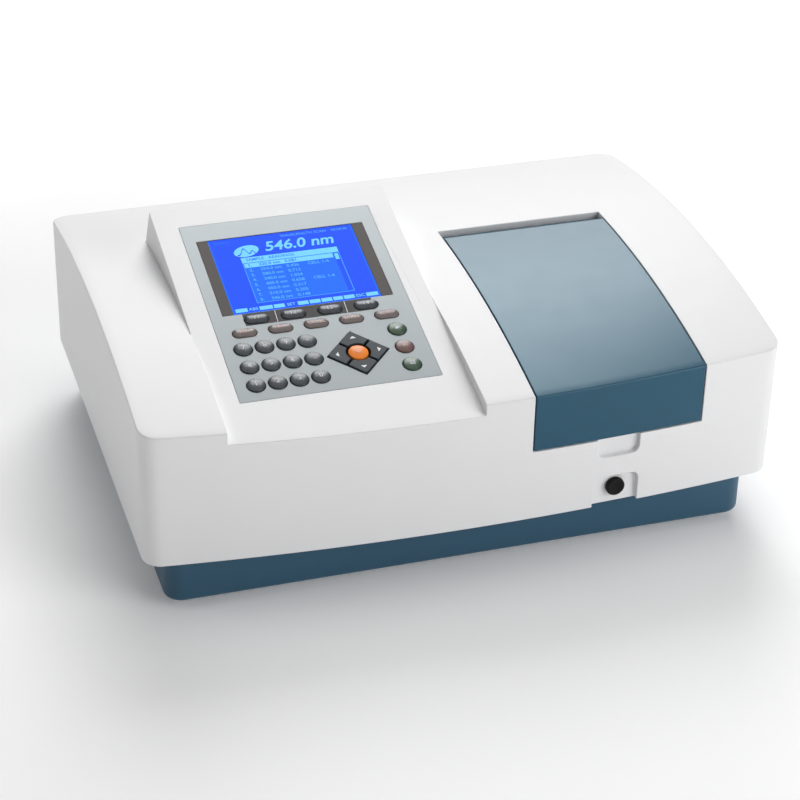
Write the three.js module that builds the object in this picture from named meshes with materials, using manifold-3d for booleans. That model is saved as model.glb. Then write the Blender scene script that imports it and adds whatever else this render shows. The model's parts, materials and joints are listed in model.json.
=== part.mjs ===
// Bench UV-visible spectrophotometer: a white moulded cover with a raised control console, a dark base
// tray, a hinged lid over the sample compartment, and the optics, lamps and electronics inside.
// Millimetres. X runs to the right, Y to the back, Z up; the origin is the centre of the footprint.

import * as THREE from 'three';
import { mergeVertices } from 'three/addons/utils/BufferGeometryUtils.js';
import Module from 'manifold-3d';

const wasm = await Module();
wasm.setup();

// Cover: straight sides, a bowed front and an arched top.
const WIDTH = 530;
const SIDE_DEPTH = 387;
const FRONT_BULGE = 16;
const CORNER_RADIUS = 16;
const WALL = 3;
const GAP = 0.3;
const FOOT_HEIGHT = 8;

// Reference lines: the front end of the side walls, the back face, and the underside of the base tray.
const HALF_WIDTH = WIDTH / 2;
const FRONT = FRONT_BULGE / 2 - SIDE_DEPTH / 2;
const BACK = FRONT + SIDE_DEPTH;
const BASE = FOOT_HEIGHT;
const COVER_BOTTOM = BASE + 43.3;
const TOP_RADIUS = 950;
const TOP_APEX_Y = FRONT + 191;
const TOP_APEX_Z = BASE + 180.3;
const FAR = 300;

// Base tray.
const BASE_HALF_WIDTH = 247.6;
const BASE_FRONT = FRONT + 6.6;
const BASE_BACK = BACK - 7;
const BASE_HEIGHT = 43;
const FLOOR = BASE + WALL + GAP;

// Control console: a wedge that is sunk into the cover at the front and stands above it at the back.
const CONSOLE_LEFT = -198.5;
const CONSOLE_RIGHT = 5.5;
const CONSOLE_TILT = THREE.MathUtils.degToRad(12.63);
const CONSOLE_FRONT_Z = BASE + 151.2;
const CONSOLE_TOP_Y = FRONT + 271.5;
const CONSOLE_REAR_SLOPE = 20.1 / 37.45;

// Keypad panel, measured along the console's slope from its upper left corner.
const PANEL_LEFT = -178.7;
const PANEL_TOP_Y = FRONT + 247;
const PANEL_WIDTH = 164.5;
const PANEL_LENGTH = 217.2;
const PANEL_THICKNESS = 1.4;
const SCREEN = { left: 10.1, top: 20.8, width: 143.6, height: 95.4 };
const KEY_CLEARANCE = 0.5;

// Sample compartment, its lid and the lid's hinge.
const OPENING_LEFT = 46.3;
const OPENING_RIGHT = 195;
const OPENING_BACK = FRONT + 235.3;
const OPENING_BOTTOM = BASE + 106.8;
const OPENING_LIP = { thickness: 1.4, depth: 7 };
const LID_GAP = 0.9;
const LID_BACK = FRONT + 221;
const LID_EDGE_DEPTH = 8;
const HINGE_Y = FRONT + 229;
const HINGE_Z = BASE + 170.3;
const PIN_RADIUS = 2;
const BORE_RADIUS = 2.4;
const CHAMBER = { left: 62, right: 179, front: FRONT + 45, back: FRONT + 200, floor: BASE + 54.5 };
const CHAMBER_WALL = 2.5;
const DECK_Z = BASE + 150;

// Light path and the sliding cell carriage that crosses it.
const BEAM_Y = FRONT + 127.5;
const BEAM_Z = BASE + 85;
const ROD_X = 121.4;
const ROD_Z = BASE + 59.1;
const ROD_RADIUS = 3;
const KNOB_RADIUS = 8;
const RECESS_DEPTH = 4.6;
const CELL_PITCH = 15;
const CELL_COUNT = 4;
const CELL_SLOT = 12.8;

// ---------------------------------------------------------------- shape helpers

function toSolid(geometry) {
  const bare = geometry.index ? geometry.clone() : geometry;
  bare.deleteAttribute('normal');
  bare.deleteAttribute('uv');
  const merged = mergeVertices(bare, 1e-4);
  return new wasm.Manifold(new wasm.Mesh({
    numProp: 3,
    vertProperties: new Float32Array(merged.attributes.position.array),
    triVerts: new Uint32Array(merged.index.array),
  }));
}

function toGeometry(solid) {
  const mesh = solid.getMesh();
  const geometry = new THREE.BufferGeometry();
  geometry.setAttribute('position', new THREE.BufferAttribute(new Float32Array(mesh.vertProperties), 3));
  geometry.setIndex(new THREE.BufferAttribute(new Uint32Array(mesh.triVerts), 1));
  geometry.computeVertexNormals();
  return geometry;
}

function cut(body, ...tools) {
  return toGeometry(tools.reduce((solid, tool) => solid.subtract(toSolid(tool)), toSolid(body)));
}

function join(first, ...others) {
  return toGeometry(others.reduce((solid, other) => solid.add(toSolid(other)), toSolid(first)));
}

function common(a, b) {
  return toGeometry(toSolid(a).intersect(toSolid(b)));
}

function block(x0, x1, y0, y1, z0, z1) {
  const box = new THREE.BoxGeometry(x1 - x0, y1 - y0, z1 - z0);
  return box.translate((x0 + x1) / 2, (y0 + y1) / 2, (z0 + z1) / 2);
}

function outlineShape(points) {
  return new THREE.Shape(points.map(([x, y]) => new THREE.Vector2(x, y)));
}

// An outline drawn in X and Y, from z0 up to z1.
function prismZ(points, z0, z1) {
  const prism = new THREE.ExtrudeGeometry(outlineShape(points), { depth: z1 - z0, bevelEnabled: false });
  return prism.translate(0, 0, z0);
}

// An outline drawn in Y and Z, from x0 to x1.
function prismX(points, x0, x1) {
  const turn = new THREE.Matrix4().makeBasis(
    new THREE.Vector3(0, 1, 0), new THREE.Vector3(0, 0, 1), new THREE.Vector3(1, 0, 0));
  return prismZ(points, x0, x1).applyMatrix4(turn);
}

// A profile of [radius, height] points turned about an axis that starts at a given place.
function turned(profile, axis, place, segments = 16) {
  const lathe = new THREE.LatheGeometry(profile.map(([r, h]) => new THREE.Vector2(r, h)), segments);
  const aim = new THREE.Quaternion().setFromUnitVectors(new THREE.Vector3(0, 1, 0), axis);
  return lathe.applyQuaternion(aim).translate(...place);
}

const ALONG_X = new THREE.Vector3(1, 0, 0);
const ALONG_Y = new THREE.Vector3(0, 1, 0);
const ALONG_Z = new THREE.Vector3(0, 0, 1);

function rod(radius, length, axis, place, segments = 16) {
  return turned([[0, 0], [radius, 0], [radius, length], [0, length]], axis, place, segments);
}

// A box that is open at one end, made by cutting an inner block out of an outer one.
function openBox([x0, x1], [y0, y1], [z0, z1], wall, openTop) {
  const inner = openTop ? [z0 + wall, z1 + 1] : [z0 - 1, z1 - wall];
  return cut(block(x0, x1, y0, y1, z0, z1),
    block(x0 + wall, x1 - wall, y0 + wall, y1 - wall, ...inner));
}

// ---------------------------------------------------------------- materials and the scene graph

function finish(color, roughness, metalness = 0) {
  return new THREE.MeshStandardMaterial({ color, roughness, metalness });
}

const MATERIALS = {
  cover: finish(0xe9ebec, 0.45),
  base: finish(0x35536b, 0.5),
  lid: finish(0x3d6480, 0.42),
  panel: finish(0xb9c2c6, 0.4),
  screenFrame: finish(0x4a4340, 0.2),
  display: finish(0x1d4fff, 0.3),
  darkKey: finish(0x4c5359, 0.45),
  functionKey: finish(0x6f6a66, 0.45),
  greenKey: finish(0x46604a, 0.45),
  brownKey: finish(0x77564f, 0.45),
  orangeKey: finish(0xf08a34, 0.4),
  black: finish(0x151617, 0.5),
  rubber: finish(0x1c1c1d, 0.9),
  steel: finish(0xb4b8bb, 0.35, 1),
  casting: finish(0x8d9194, 0.5, 1),
  board: finish(0x1f5a3a, 0.6),
  rearPanel: finish(0x4a5157, 0.55),
  lamp: finish(0xdfe6ea, 0.15),
};

const instrument = new THREE.Group();

function addPart(name, material, geometry, parent = instrument) {
  const mesh = new THREE.Mesh(geometry, material);
  mesh.name = name;
  parent.add(mesh);
  return mesh;
}

// ---------------------------------------------------------------- the body's envelope

function topHeight(y) {
  return TOP_APEX_Z - TOP_RADIUS + Math.sqrt(TOP_RADIUS ** 2 - (y - TOP_APEX_Y) ** 2);
}

function frontLine(x) {
  return FRONT - FRONT_BULGE * (1 - (x / HALF_WIDTH) ** 2);
}

function cornerArc(cx, cy, radius, from, to, steps = 4) {
  return Array.from({ length: steps + 1 }, (_, i) => {
    const angle = from + (to - from) * i / steps;
    return [cx + radius * Math.cos(angle), cy + radius * Math.sin(angle)];
  });
}

// The cover seen from above, moved inwards by an inset.
function planOutline(inset) {
  const centreX = HALF_WIDTH - CORNER_RADIUS;
  const lean = Math.atan(2 * FRONT_BULGE * centreX / HALF_WIDTH ** 2);
  const frontY = frontLine(centreX) + CORNER_RADIUS / Math.cos(lean);
  const backY = BACK - CORNER_RADIUS;
  const radius = Math.max(CORNER_RADIUS - inset, 0.5);
  const right = Math.PI / 2 - lean;
  const frontSteps = 12;
  const endX = centreX + radius * Math.sin(lean);
  const bow = Array.from({ length: frontSteps - 1 }, (_, i) => {
    const x = endX * (2 * (i + 1) / frontSteps - 1);
    return [x, frontLine(x) + inset];
  });
  return [
    ...bow,
    ...cornerArc(centreX, frontY, radius, -right, 0),
    ...cornerArc(centreX, backY, radius, 0, Math.PI / 2),
    ...cornerArc(-centreX, backY, radius, Math.PI / 2, Math.PI),
    ...cornerArc(-centreX, frontY, radius, Math.PI, Math.PI + right),
  ];
}

// Everything under the arched top, inset by a wall thickness.
function bodyBlock(inset, bottom) {
  const y0 = FRONT - FRONT_BULGE - 1;
  const y1 = BACK + 1;
  const steps = 14;
  const arch = Array.from({ length: steps + 1 }, (_, i) => {
    const y = y1 + (y0 - y1) * i / steps;
    return [y, topHeight(y) - inset];
  });
  const profile = [[y0, bottom], [y1, bottom], ...arch];
  return common(prismZ(planOutline(inset), bottom, FAR), prismX(profile, -FAR, FAR));
}

function consoleHeight(y) {
  return CONSOLE_FRONT_Z + Math.tan(CONSOLE_TILT) * (y - FRONT);
}

// The space above the console's face, widened and lowered by a wall thickness.
function consoleHollow(margin) {
  const y0 = FRONT - 40;
  const y1 = CONSOLE_TOP_Y + 20;
  const drop = margin / Math.cos(CONSOLE_TILT);
  return prismX([[y0, consoleHeight(y0) - drop], [y1, consoleHeight(y1) - drop], [y1, FAR], [y0, FAR]],
    CONSOLE_LEFT - margin, CONSOLE_RIGHT + margin);
}

// The raised part of the console before its face is cut, narrowed by a wall thickness.
function consoleRise(margin) {
  const y0 = FRONT + 100;
  const z0 = BASE + 140;
  const z1 = consoleHeight(CONSOLE_TOP_Y) + 15;
  const rearY = (z) => CONSOLE_TOP_Y - margin + CONSOLE_REAR_SLOPE * (consoleHeight(CONSOLE_TOP_Y) - z);
  return prismX([[y0, z0], [rearY(z0), z0], [rearY(z1), z1], [y0, z1]],
    CONSOLE_LEFT + margin, CONSOLE_RIGHT - margin);
}

function coverBlock(inset, bottom) {
  return cut(join(bodyBlock(inset, bottom), consoleRise(inset)), consoleHollow(inset));
}

// A shallow recess in the bowed front, with a floor that follows the front.
function frontRecess(x0, x1, z0, z1, roundTop, depth) {
  const radius = 7;
  const corners = (zc, from) => [
    ...cornerArc(x1 - radius, zc, radius, from, from + Math.PI / 2, 3),
    ...cornerArc(x0 + radius, zc, radius, from + Math.PI / 2, from + Math.PI, 3)];
  const outline = roundTop
    ? [[x0, z0], [x1, z0], ...corners(z1 - radius, 0)]
    : [[x1, z1], [x0, z1], ...cornerArc(x0 + radius, z0 + radius, radius, Math.PI, 1.5 * Math.PI, 3),
      ...cornerArc(x1 - radius, z0 + radius, radius, -Math.PI / 2, 0, 3)];
  const turn = new THREE.Matrix4().makeBasis(
    new THREE.Vector3(1, 0, 0), new THREE.Vector3(0, 0, 1), new THREE.Vector3(0, -1, 0));
  const plug = prismZ(outline, -FRONT - 20, -FRONT + 40).applyMatrix4(turn);
  return cut(plug, bodyBlock(depth, BASE));
}

// ---------------------------------------------------------------- panel frame

// Local X runs right from the panel's upper left corner, local Y up the slope and local Z out of it.
const panelGroup = new THREE.Group();
panelGroup.position.set(PANEL_LEFT, PANEL_TOP_Y, consoleHeight(PANEL_TOP_Y));
panelGroup.rotation.x = CONSOLE_TILT;
panelGroup.updateMatrix();
instrument.add(panelGroup);

function onPanel(geometry) {
  return geometry.applyMatrix4(panelGroup.matrix);
}

// ---------------------------------------------------------------- cover, base and feet

function makeCover() {
  const bottomLedge = 30;
  const bottomOpening = prismZ(planOutline(bottomLedge), COVER_BOTTOM - 1, COVER_BOTTOM + WALL + 1);
  const lidOpening = block(OPENING_LEFT, OPENING_RIGHT, FRONT - 40, OPENING_BACK, OPENING_BOTTOM, FAR);
  const lipTop = topHeight(OPENING_BACK) - 0.5;
  const lip = block(OPENING_LEFT, OPENING_RIGHT, OPENING_BACK, OPENING_BACK + OPENING_LIP.thickness,
    topHeight(OPENING_BACK) - OPENING_LIP.depth, lipTop);
  const notch = { x0: 103, x1: 140, z0: BASE + 89.5, z1: OPENING_BOTTOM + 1 };
  const pocket = { x0: 101, x1: 141, z0: COVER_BOTTOM - 1, z1: BASE + 70.8 };
  const recess = (spot, roundTop, grow, depth) => frontRecess(
    spot.x0 - grow, spot.x1 + grow, spot.z0 - (roundTop ? 0 : grow), spot.z1 + (roundTop ? grow : 0),
    roundTop, depth);
  const backing = (spot, roundTop) =>
    common(recess(spot, roundTop, WALL, RECESS_DEPTH + WALL), bodyBlock(WALL / 2, COVER_BOTTOM));
  const panelSeat = onPanel(block(-GAP, PANEL_WIDTH + GAP, -PANEL_LENGTH - GAP, GAP,
    -PANEL_THICKNESS - GAP, 5));
  const ledge = 5;
  const panelOpening = onPanel(block(ledge, PANEL_WIDTH - ledge, -PANEL_LENGTH + ledge, -ledge, -15, 5));
  const rearOpening = block(-222, 222, BACK - 10, BACK + 10, BASE + 56, BASE + 129);
  const rodHole = rod(ROD_RADIUS + 0.5, 40, ALONG_Y, [ROD_X, FRONT - 30, ROD_Z], 12);
  const shell = join(cut(coverBlock(0, COVER_BOTTOM), coverBlock(WALL, COVER_BOTTOM + WALL)),
    backing(notch, false), backing(pocket, true), lip);
  return cut(shell, bottomOpening, lidOpening, recess(notch, false, 0, RECESS_DEPTH),
    recess(pocket, true, 0, RECESS_DEPTH), panelSeat, panelOpening, rearOpening, rodHole);
}

function basePlan(inset) {
  const radius = 15 - inset;
  const cx = BASE_HALF_WIDTH - 15;
  const turns = [[cx, BASE_FRONT + 15, -0.5], [cx, BASE_BACK - 15, 0],
    [-cx, BASE_BACK - 15, 0.5], [-cx, BASE_FRONT + 15, 1]];
  return turns.flatMap(([x, y, quarter]) =>
    cornerArc(x, y, radius, quarter * Math.PI, (quarter + 0.5) * Math.PI));
}

function makeBase() {
  const edge = 3;
  const upper = prismZ(basePlan(0), BASE + edge, BASE + BASE_HEIGHT);
  const lower = new THREE.ExtrudeGeometry(outlineShape(basePlan(0)), {
    depth: edge, bevelThickness: edge, bevelSize: edge, bevelOffset: -edge, bevelSegments: 1 });
  const rounded = join(upper, lower.translate(0, 0, BASE + edge));
  return cut(rounded, prismZ(basePlan(WALL), BASE + WALL, BASE + BASE_HEIGHT + 1));
}

function makeFoot() {
  return turned([[0, 0], [12.5, 0], [14, 1.5], [14, FOOT_HEIGHT - GAP], [0, FOOT_HEIGHT - GAP]],
    ALONG_Z, [0, 0, 0]);
}

addPart('upper_cover', MATERIALS.cover, makeCover());
addPart('base_tray', MATERIALS.base, makeBase());
for (const [side, x] of [['left', -205], ['right', 205]]) {
  for (const [end, y] of [['front', FRONT + 50], ['rear', FRONT + 340]]) {
    addPart(`foot_${end}_${side}`, MATERIALS.rubber, makeFoot()).position.set(x, y, 0);
  }
}

// ---------------------------------------------------------------- keypad panel, screen and keys

// Key outlines about their own centre: a straight stretch along X between two half circles.
function tracePill(path, x, y, straight, radius) {
  path.absarc(x + straight / 2, y, radius, -Math.PI / 2, Math.PI / 2);
  path.absarc(x - straight / 2, y, radius, Math.PI / 2, 1.5 * Math.PI);
  return path;
}

const NUMBER_KEY = { straight: 0, radius: 7.4 };
const SIDE_KEY = { straight: 0, radius: 7.5 };
const FUNCTION_KEY = { straight: 10, radius: 5.1 };
const MODE_KEY = { straight: 10.2, radius: 4.85 };
const ENTER_KEY = { straight: 0, radius: 8.2 };
const KEY_ROWS = [158, 179.25, 200.5];
const DIAMOND = { u: 105.9, v: 179.25, halfSide: 18, ring: 9.7, split: 0.7 };

function keyList() {
  const keys = [];
  for (let i = 0; i < 4; i += 1) {
    keys.push({ name: `soft_key_${i + 1}`, u: 36.2 + 30.6 * i, v: 124.5,
      ...FUNCTION_KEY, material: MATERIALS.darkKey });
  }
  for (let i = 0; i < 5; i += 1) {
    keys.push({ name: `mode_key_${i + 1}`, u: 22.8 + 29.6 * i, v: 139,
      ...MODE_KEY, material: MATERIALS.functionKey });
  }
  KEY_ROWS.forEach((v, row) => {
    for (let column = 0; column < 4; column += 1) {
      keys.push({ name: `number_key_${row * 4 + column + 1}`, u: 16.9 + 17.5 * column, v,
        ...NUMBER_KEY, material: MATERIALS.darkKey });
    }
    const [name, material] = [['start_key', MATERIALS.greenKey], ['return_key', MATERIALS.brownKey],
      ['print_key', MATERIALS.greenKey]][row];
    keys.push({ name, u: 144.5, v, ...SIDE_KEY, material });
  });
  keys.push({ name: 'enter_key', u: DIAMOND.u, v: DIAMOND.v, ...ENTER_KEY,
    material: MATERIALS.orangeKey });
  return keys;
}

function rectangle(path, left, top, width, height) {
  path.moveTo(left, -top);
  path.lineTo(left, -top - height);
  path.lineTo(left + width, -top - height);
  path.lineTo(left + width, -top);
  path.closePath();
  return path;
}

function makePanel(keys) {
  const sheet = rectangle(new THREE.Shape(), 0, 0, PANEL_WIDTH, PANEL_LENGTH);
  sheet.holes.push(rectangle(new THREE.Path(), SCREEN.left, SCREEN.top, SCREEN.width, SCREEN.height));
  for (const key of keys.filter((entry) => entry.name !== 'enter_key')) {
    sheet.holes.push(tracePill(new THREE.Path(), key.u, -key.v, key.straight,
      key.radius + KEY_CLEARANCE));
  }
  const reach = (DIAMOND.halfSide + KEY_CLEARANCE) * Math.SQRT2;
  const diamond = new THREE.Path();
  diamond.moveTo(DIAMOND.u + reach, -DIAMOND.v);
  diamond.lineTo(DIAMOND.u, -DIAMOND.v + reach);
  diamond.lineTo(DIAMOND.u - reach, -DIAMOND.v);
  diamond.lineTo(DIAMOND.u, -DIAMOND.v - reach);
  diamond.closePath();
  sheet.holes.push(diamond);
  return new THREE.ExtrudeGeometry(sheet,
    { depth: PANEL_THICKNESS, bevelEnabled: false, curveSegments: 3 }).translate(0, 0, -PANEL_THICKNESS);
}

function makeKeyCap(key) {
  const top = 1.6;
  const bevel = 0.8;
  const depth = 4;
  return new THREE.ExtrudeGeometry(tracePill(new THREE.Shape(), 0, 0, key.straight, key.radius), {
    depth: depth + top - 2 * bevel, bevelThickness: bevel, bevelSize: bevel, bevelOffset: -bevel,
    bevelSegments: 1, curveSegments: 3 }).translate(0, 0, bevel - depth);
}

// One corner of the diamond, drawn in a frame turned by 45 degrees, hollowed round the centre key.
function makeArrowKey() {
  const { halfSide, ring, split } = DIAMOND;
  const reach = Math.sqrt(ring ** 2 - split ** 2);
  const angle = Math.asin(split / ring);
  const key = new THREE.Shape();
  key.moveTo(reach, split);
  key.lineTo(halfSide, split);
  key.lineTo(halfSide, halfSide - 2);
  key.lineTo(halfSide - 2, halfSide);
  key.lineTo(split, halfSide);
  key.lineTo(split, reach);
  key.absarc(0, 0, ring, Math.PI / 2 - angle, angle, true);
  return new THREE.ExtrudeGeometry(key, { depth: 4.8, bevelEnabled: false, curveSegments: 3 })
    .translate(0, 0, -4);
}

const keys = keyList();
addPart('keypad_panel', MATERIALS.panel, makePanel(keys), panelGroup);
for (const key of keys) {
  addPart(key.name, key.material, makeKeyCap(key), panelGroup).position.set(key.u, -key.v, 0);
}
['up_key', 'left_key', 'down_key', 'right_key'].forEach((name, turn) => {
  const key = addPart(name, MATERIALS.darkKey, makeArrowKey(), panelGroup);
  key.position.set(DIAMOND.u, -DIAMOND.v, 0);
  key.rotation.z = Math.PI / 4 + turn * Math.PI / 2;
});

addPart('screen_window', MATERIALS.screenFrame, block(
  SCREEN.left + GAP, SCREEN.left + SCREEN.width - GAP,
  -SCREEN.top - SCREEN.height + GAP, -SCREEN.top - GAP, -PANEL_THICKNESS, -0.1), panelGroup);
addPart('display_module', MATERIALS.display, block(15, 149, -118, -19, -11, -2.6), panelGroup);

function makeKeypadBoard() {
  const board = block(8, 157, -211, -119, -7, -5.4);
  const controller = block(90, 125, -160, -135, -10, -6.9);
  const connector = block(12, 40, -208, -202, -13, -6.9);
  return join(board, controller, connector);
}

addPart('keypad_board', MATERIALS.board, makeKeypadBoard(), panelGroup);

// ---------------------------------------------------------------- lid and hinge

function makeLid() {
  const x0 = OPENING_LEFT + LID_GAP;
  const x1 = OPENING_RIGHT - LID_GAP;
  const bottom = OPENING_BOTTOM + LID_GAP;
  const outer = common(bodyBlock(0, bottom), block(x0, x1, FRONT - 40, LID_BACK, bottom, FAR));
  const plate = cut(outer,
    common(bodyBlock(WALL, BASE), block(x0 + WALL, x1 - WALL, FRONT - 40, BACK, BASE, FAR)),
    bodyBlock(LID_EDGE_DEPTH, BASE));
  const top = topHeight(LID_BACK);
  const stepDown = 5;
  const flangeBottom = top - stepDown - 2.2;
  const riser = block(x0, x1, LID_BACK - WALL, LID_BACK, flangeBottom, top - 1.5);
  const flange = block(x0, x1, LID_BACK - WALL, HINGE_Y + 3.4, flangeBottom, top - stepDown);
  const knuckleLength = 24;
  const knuckle = (x) => rod(4.4, knuckleLength, ALONG_X, [x, HINGE_Y, HINGE_Z]);
  const bore = rod(BORE_RADIUS, WIDTH, ALONG_X, [0, HINGE_Y, HINGE_Z], 12);
  return cut(join(plate, riser, flange, knuckle(x0 + 4), knuckle(x1 - 4 - knuckleLength)), bore);
}

addPart('compartment_lid', MATERIALS.lid, makeLid());

// ---------------------------------------------------------------- sample chamber and cell carriage

const FRAME = { left: 41.5, right: 199.5, front: FRONT + 1, back: FRONT + 240 };

function makeChamber() {
  const plate = 2.5;
  const frame = common(block(FRAME.left, FRAME.right, FRAME.front, FRAME.back, DECK_Z - plate, FAR),
    bodyBlock(WALL + GAP, BASE));
  const frameInside = block(FRAME.left + WALL, FRAME.right - WALL, FRONT - 40, FRAME.back - WALL,
    DECK_Z, FAR);
  const frontPlate = block(FRAME.left, FRAME.right, FRAME.front, FRAME.front + plate, BASE + 88, DECK_Z);
  const tub = block(CHAMBER.left - CHAMBER_WALL, CHAMBER.right + CHAMBER_WALL,
    CHAMBER.front - CHAMBER_WALL, CHAMBER.back + CHAMBER_WALL, CHAMBER.floor - CHAMBER_WALL, DECK_Z);
  const cavity = block(CHAMBER.left, CHAMBER.right, CHAMBER.front, CHAMBER.back, CHAMBER.floor, FAR);
  const rail = (x) => block(x - 2, x + 2, CHAMBER.front + 2, CHAMBER.back - 2,
    CHAMBER.floor - 1, CHAMBER.floor + 1.2);
  const rodHole = rod(ROD_RADIUS + 0.5, 20, ALONG_Y, [ROD_X, CHAMBER.front - 10, ROD_Z], 12);
  const beamPort = rod(6, WIDTH, ALONG_X, [0, BEAM_Y, BEAM_Z], 12);
  const pinHole = rod(BORE_RADIUS, WIDTH, ALONG_X, [0, HINGE_Y, HINGE_Z], 12);
  const hollow = cut(join(cut(frame, frameInside), frontPlate, tub), cavity, rodHole, beamPort, pinHole);
  return join(hollow, rail(ROD_X - 9), rail(ROD_X + 9));
}

addPart('sample_chamber', MATERIALS.black, makeChamber());
addPart('lid_hinge_pin', MATERIALS.steel,
  rod(PIN_RADIUS, FRAME.right - FRAME.left + 2, ALONG_X, [FRAME.left - 1, HINGE_Y, HINGE_Z], 12));

const CARRIAGE = { front: FRONT + 118, length: 64, halfWidth: 15, bottom: BASE + 56, top: BASE + 98 };

function makeCarriage() {
  const { front, length, halfWidth, bottom, top } = CARRIAGE;
  const holder = block(ROD_X - halfWidth, ROD_X + halfWidth, front, front + length, bottom, top);
  const cuts = [];
  for (let i = 0; i < CELL_COUNT; i += 1) {
    const y = BEAM_Y + CELL_PITCH * i;
    cuts.push(block(ROD_X - CELL_SLOT / 2, ROD_X + CELL_SLOT / 2, y - CELL_SLOT / 2, y + CELL_SLOT / 2,
      bottom + 6, top + 1));
    cuts.push(rod(4, 60, ALONG_X, [ROD_X - 30, y, BEAM_Z], 8));
  }
  return cut(holder, ...cuts);
}

const KNOB_BACK = frontLine(ROD_X) + RECESS_DEPTH - 0.9;
addPart('cell_carriage', MATERIALS.black, makeCarriage());
addPart('pull_rod', MATERIALS.steel, rod(ROD_RADIUS, CARRIAGE.front - KNOB_BACK - 2 * GAP,
  ALONG_Y, [ROD_X, KNOB_BACK + GAP, ROD_Z], 12));
addPart('pull_knob', MATERIALS.black, turned([[0, 0], [KNOB_RADIUS, 0], [KNOB_RADIUS, 3.2],
  [KNOB_RADIUS - 0.8, 4], [0, 4]], ALONG_Y.clone().negate(), [ROD_X, KNOB_BACK, ROD_Z], 24));

// ---------------------------------------------------------------- optics and lamps

const LAMP_HOUSE = { x: [-235, -150], y: [FRONT + 245, FRONT + 350], z: [FLOOR, BASE + 115] };
const MONOCHROMATOR = { x: [-130, 40], y: [FRONT + 105, FRONT + 345], z: [FLOOR, BASE + 122] };
const LAMP_BEAM_Y = FRONT + 297;

const lampPort = rod(8, 20, ALONG_X, [LAMP_HOUSE.x[1] - 10, LAMP_BEAM_Y, BEAM_Z], 12);
addPart('lamp_house', MATERIALS.casting,
  cut(openBox(LAMP_HOUSE.x, LAMP_HOUSE.y, LAMP_HOUSE.z, WALL, true), lampPort));

function makeLamp(baseRadius, baseHeight, bulbRadius, top, x, y) {
  const seat = LAMP_HOUSE.z[0] + WALL + GAP;
  return turned([[0, 0], [baseRadius, 0], [baseRadius, baseHeight], [bulbRadius, baseHeight + 2],
    [bulbRadius, top - 4], [bulbRadius * 0.6, top], [0, top]], ALONG_Z, [x, y, seat], 12);
}

addPart('tungsten_lamp', MATERIALS.lamp, makeLamp(10, 50, 6, 84, -182, LAMP_BEAM_Y));
addPart('deuterium_lamp', MATERIALS.lamp, makeLamp(16, 34, 13, 92, -212, LAMP_BEAM_Y + 10));

const entrance = rod(5, 20, ALONG_X, [MONOCHROMATOR.x[0] - 10, LAMP_BEAM_Y, BEAM_Z], 12);
const exit = rod(5, 20, ALONG_X, [MONOCHROMATOR.x[1] - 10, BEAM_Y, BEAM_Z], 12);
addPart('monochromator_housing', MATERIALS.casting,
  cut(openBox(MONOCHROMATOR.x, MONOCHROMATOR.y, MONOCHROMATOR.z, 4, false), entrance, exit));

const GRATING = { x: -85, y: FRONT + 165 };
addPart('grating_turntable', MATERIALS.steel, join(
  rod(22, 60, ALONG_Z, [GRATING.x, GRATING.y, FLOOR], 20),
  block(GRATING.x - 4, GRATING.x + 4, GRATING.y - 16, GRATING.y + 16, FLOOR + 59, FLOOR + 96)));

function makeFilterWheel() {
  const pitch = 17;
  const thickness = 3;
  const centreY = LAMP_BEAM_Y - pitch;
  const left = (LAMP_HOUSE.x[1] + MONOCHROMATOR.x[0] - thickness) / 2;
  const hub = MONOCHROMATOR.x[0] - GAP - left;
  const wheel = turned([[0, 0], [26, 0], [26, thickness], [6, thickness], [6, hub], [0, hub]],
    ALONG_X, [left, centreY, BEAM_Z], 24);
  const holes = Array.from({ length: 6 }, (_, i) => {
    const angle = i * Math.PI / 3;
    return rod(6, 12, ALONG_X, [left - 4, centreY + pitch * Math.cos(angle),
      BEAM_Z + pitch * Math.sin(angle)], 10);
  });
  return cut(wheel, ...holes);
}

addPart('filter_wheel', MATERIALS.black, makeFilterWheel());

const detector = join(block(203, 244, BEAM_Y - 28, BEAM_Y + 28, BASE + 60, BASE + 112),
  block(210, 240, BEAM_Y - 20, BEAM_Y + 20, FLOOR, BASE + 61));
addPart('detector_housing', MATERIALS.casting,
  cut(detector, rod(6, 24, ALONG_X, [193, BEAM_Y, BEAM_Z], 12)));

// ---------------------------------------------------------------- electronics

addPart('main_board', MATERIALS.board, join(
  block(-225, 40, FRONT + 20, FRONT + 95, BASE + 8, BASE + 9.6),
  block(-180, -140, FRONT + 40, FRONT + 80, BASE + 9.5, BASE + 12),
  block(-110, -90, FRONT + 30, FRONT + 85, BASE + 9.5, BASE + 16),
  ...[-220, 35].flatMap((x) => [FRONT + 25, FRONT + 90].map((y) =>
    rod(3, BASE + 8.1 - FLOOR, ALONG_Z, [x, y, FLOOR], 8)))));

addPart('power_supply', MATERIALS.steel, join(
  block(80, 228, FRONT + 250, FRONT + 350, FLOOR, FLOOR + 4),
  block(90, 150, FRONT + 265, FRONT + 335, FLOOR + 3, FLOOR + 55),
  block(165, 190, FRONT + 260, FRONT + 340, FLOOR + 3, FLOOR + 38),
  rod(12, 35, ALONG_Z, [209, FRONT + 285, FLOOR + 3], 12)));

// ---------------------------------------------------------------- rear panel and what it carries

const PANEL_BACK = BACK - WALL - GAP;
const REAR = { thickness: 2, front: PANEL_BACK - 2 };
const REAR_PLATE = { left: -230, right: 230, bottom: BASE + 50, top: BASE + 135 };
const FAN = { x: -160, z: BASE + 92, half: 30, radius: 27.5 };
const INLET = { x: 165, bottom: BASE + 61, top: BASE + 119, half: 16.5, proud: 2.4 };
const SERIAL = { x: 60, z: BASE + 90 };

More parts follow.
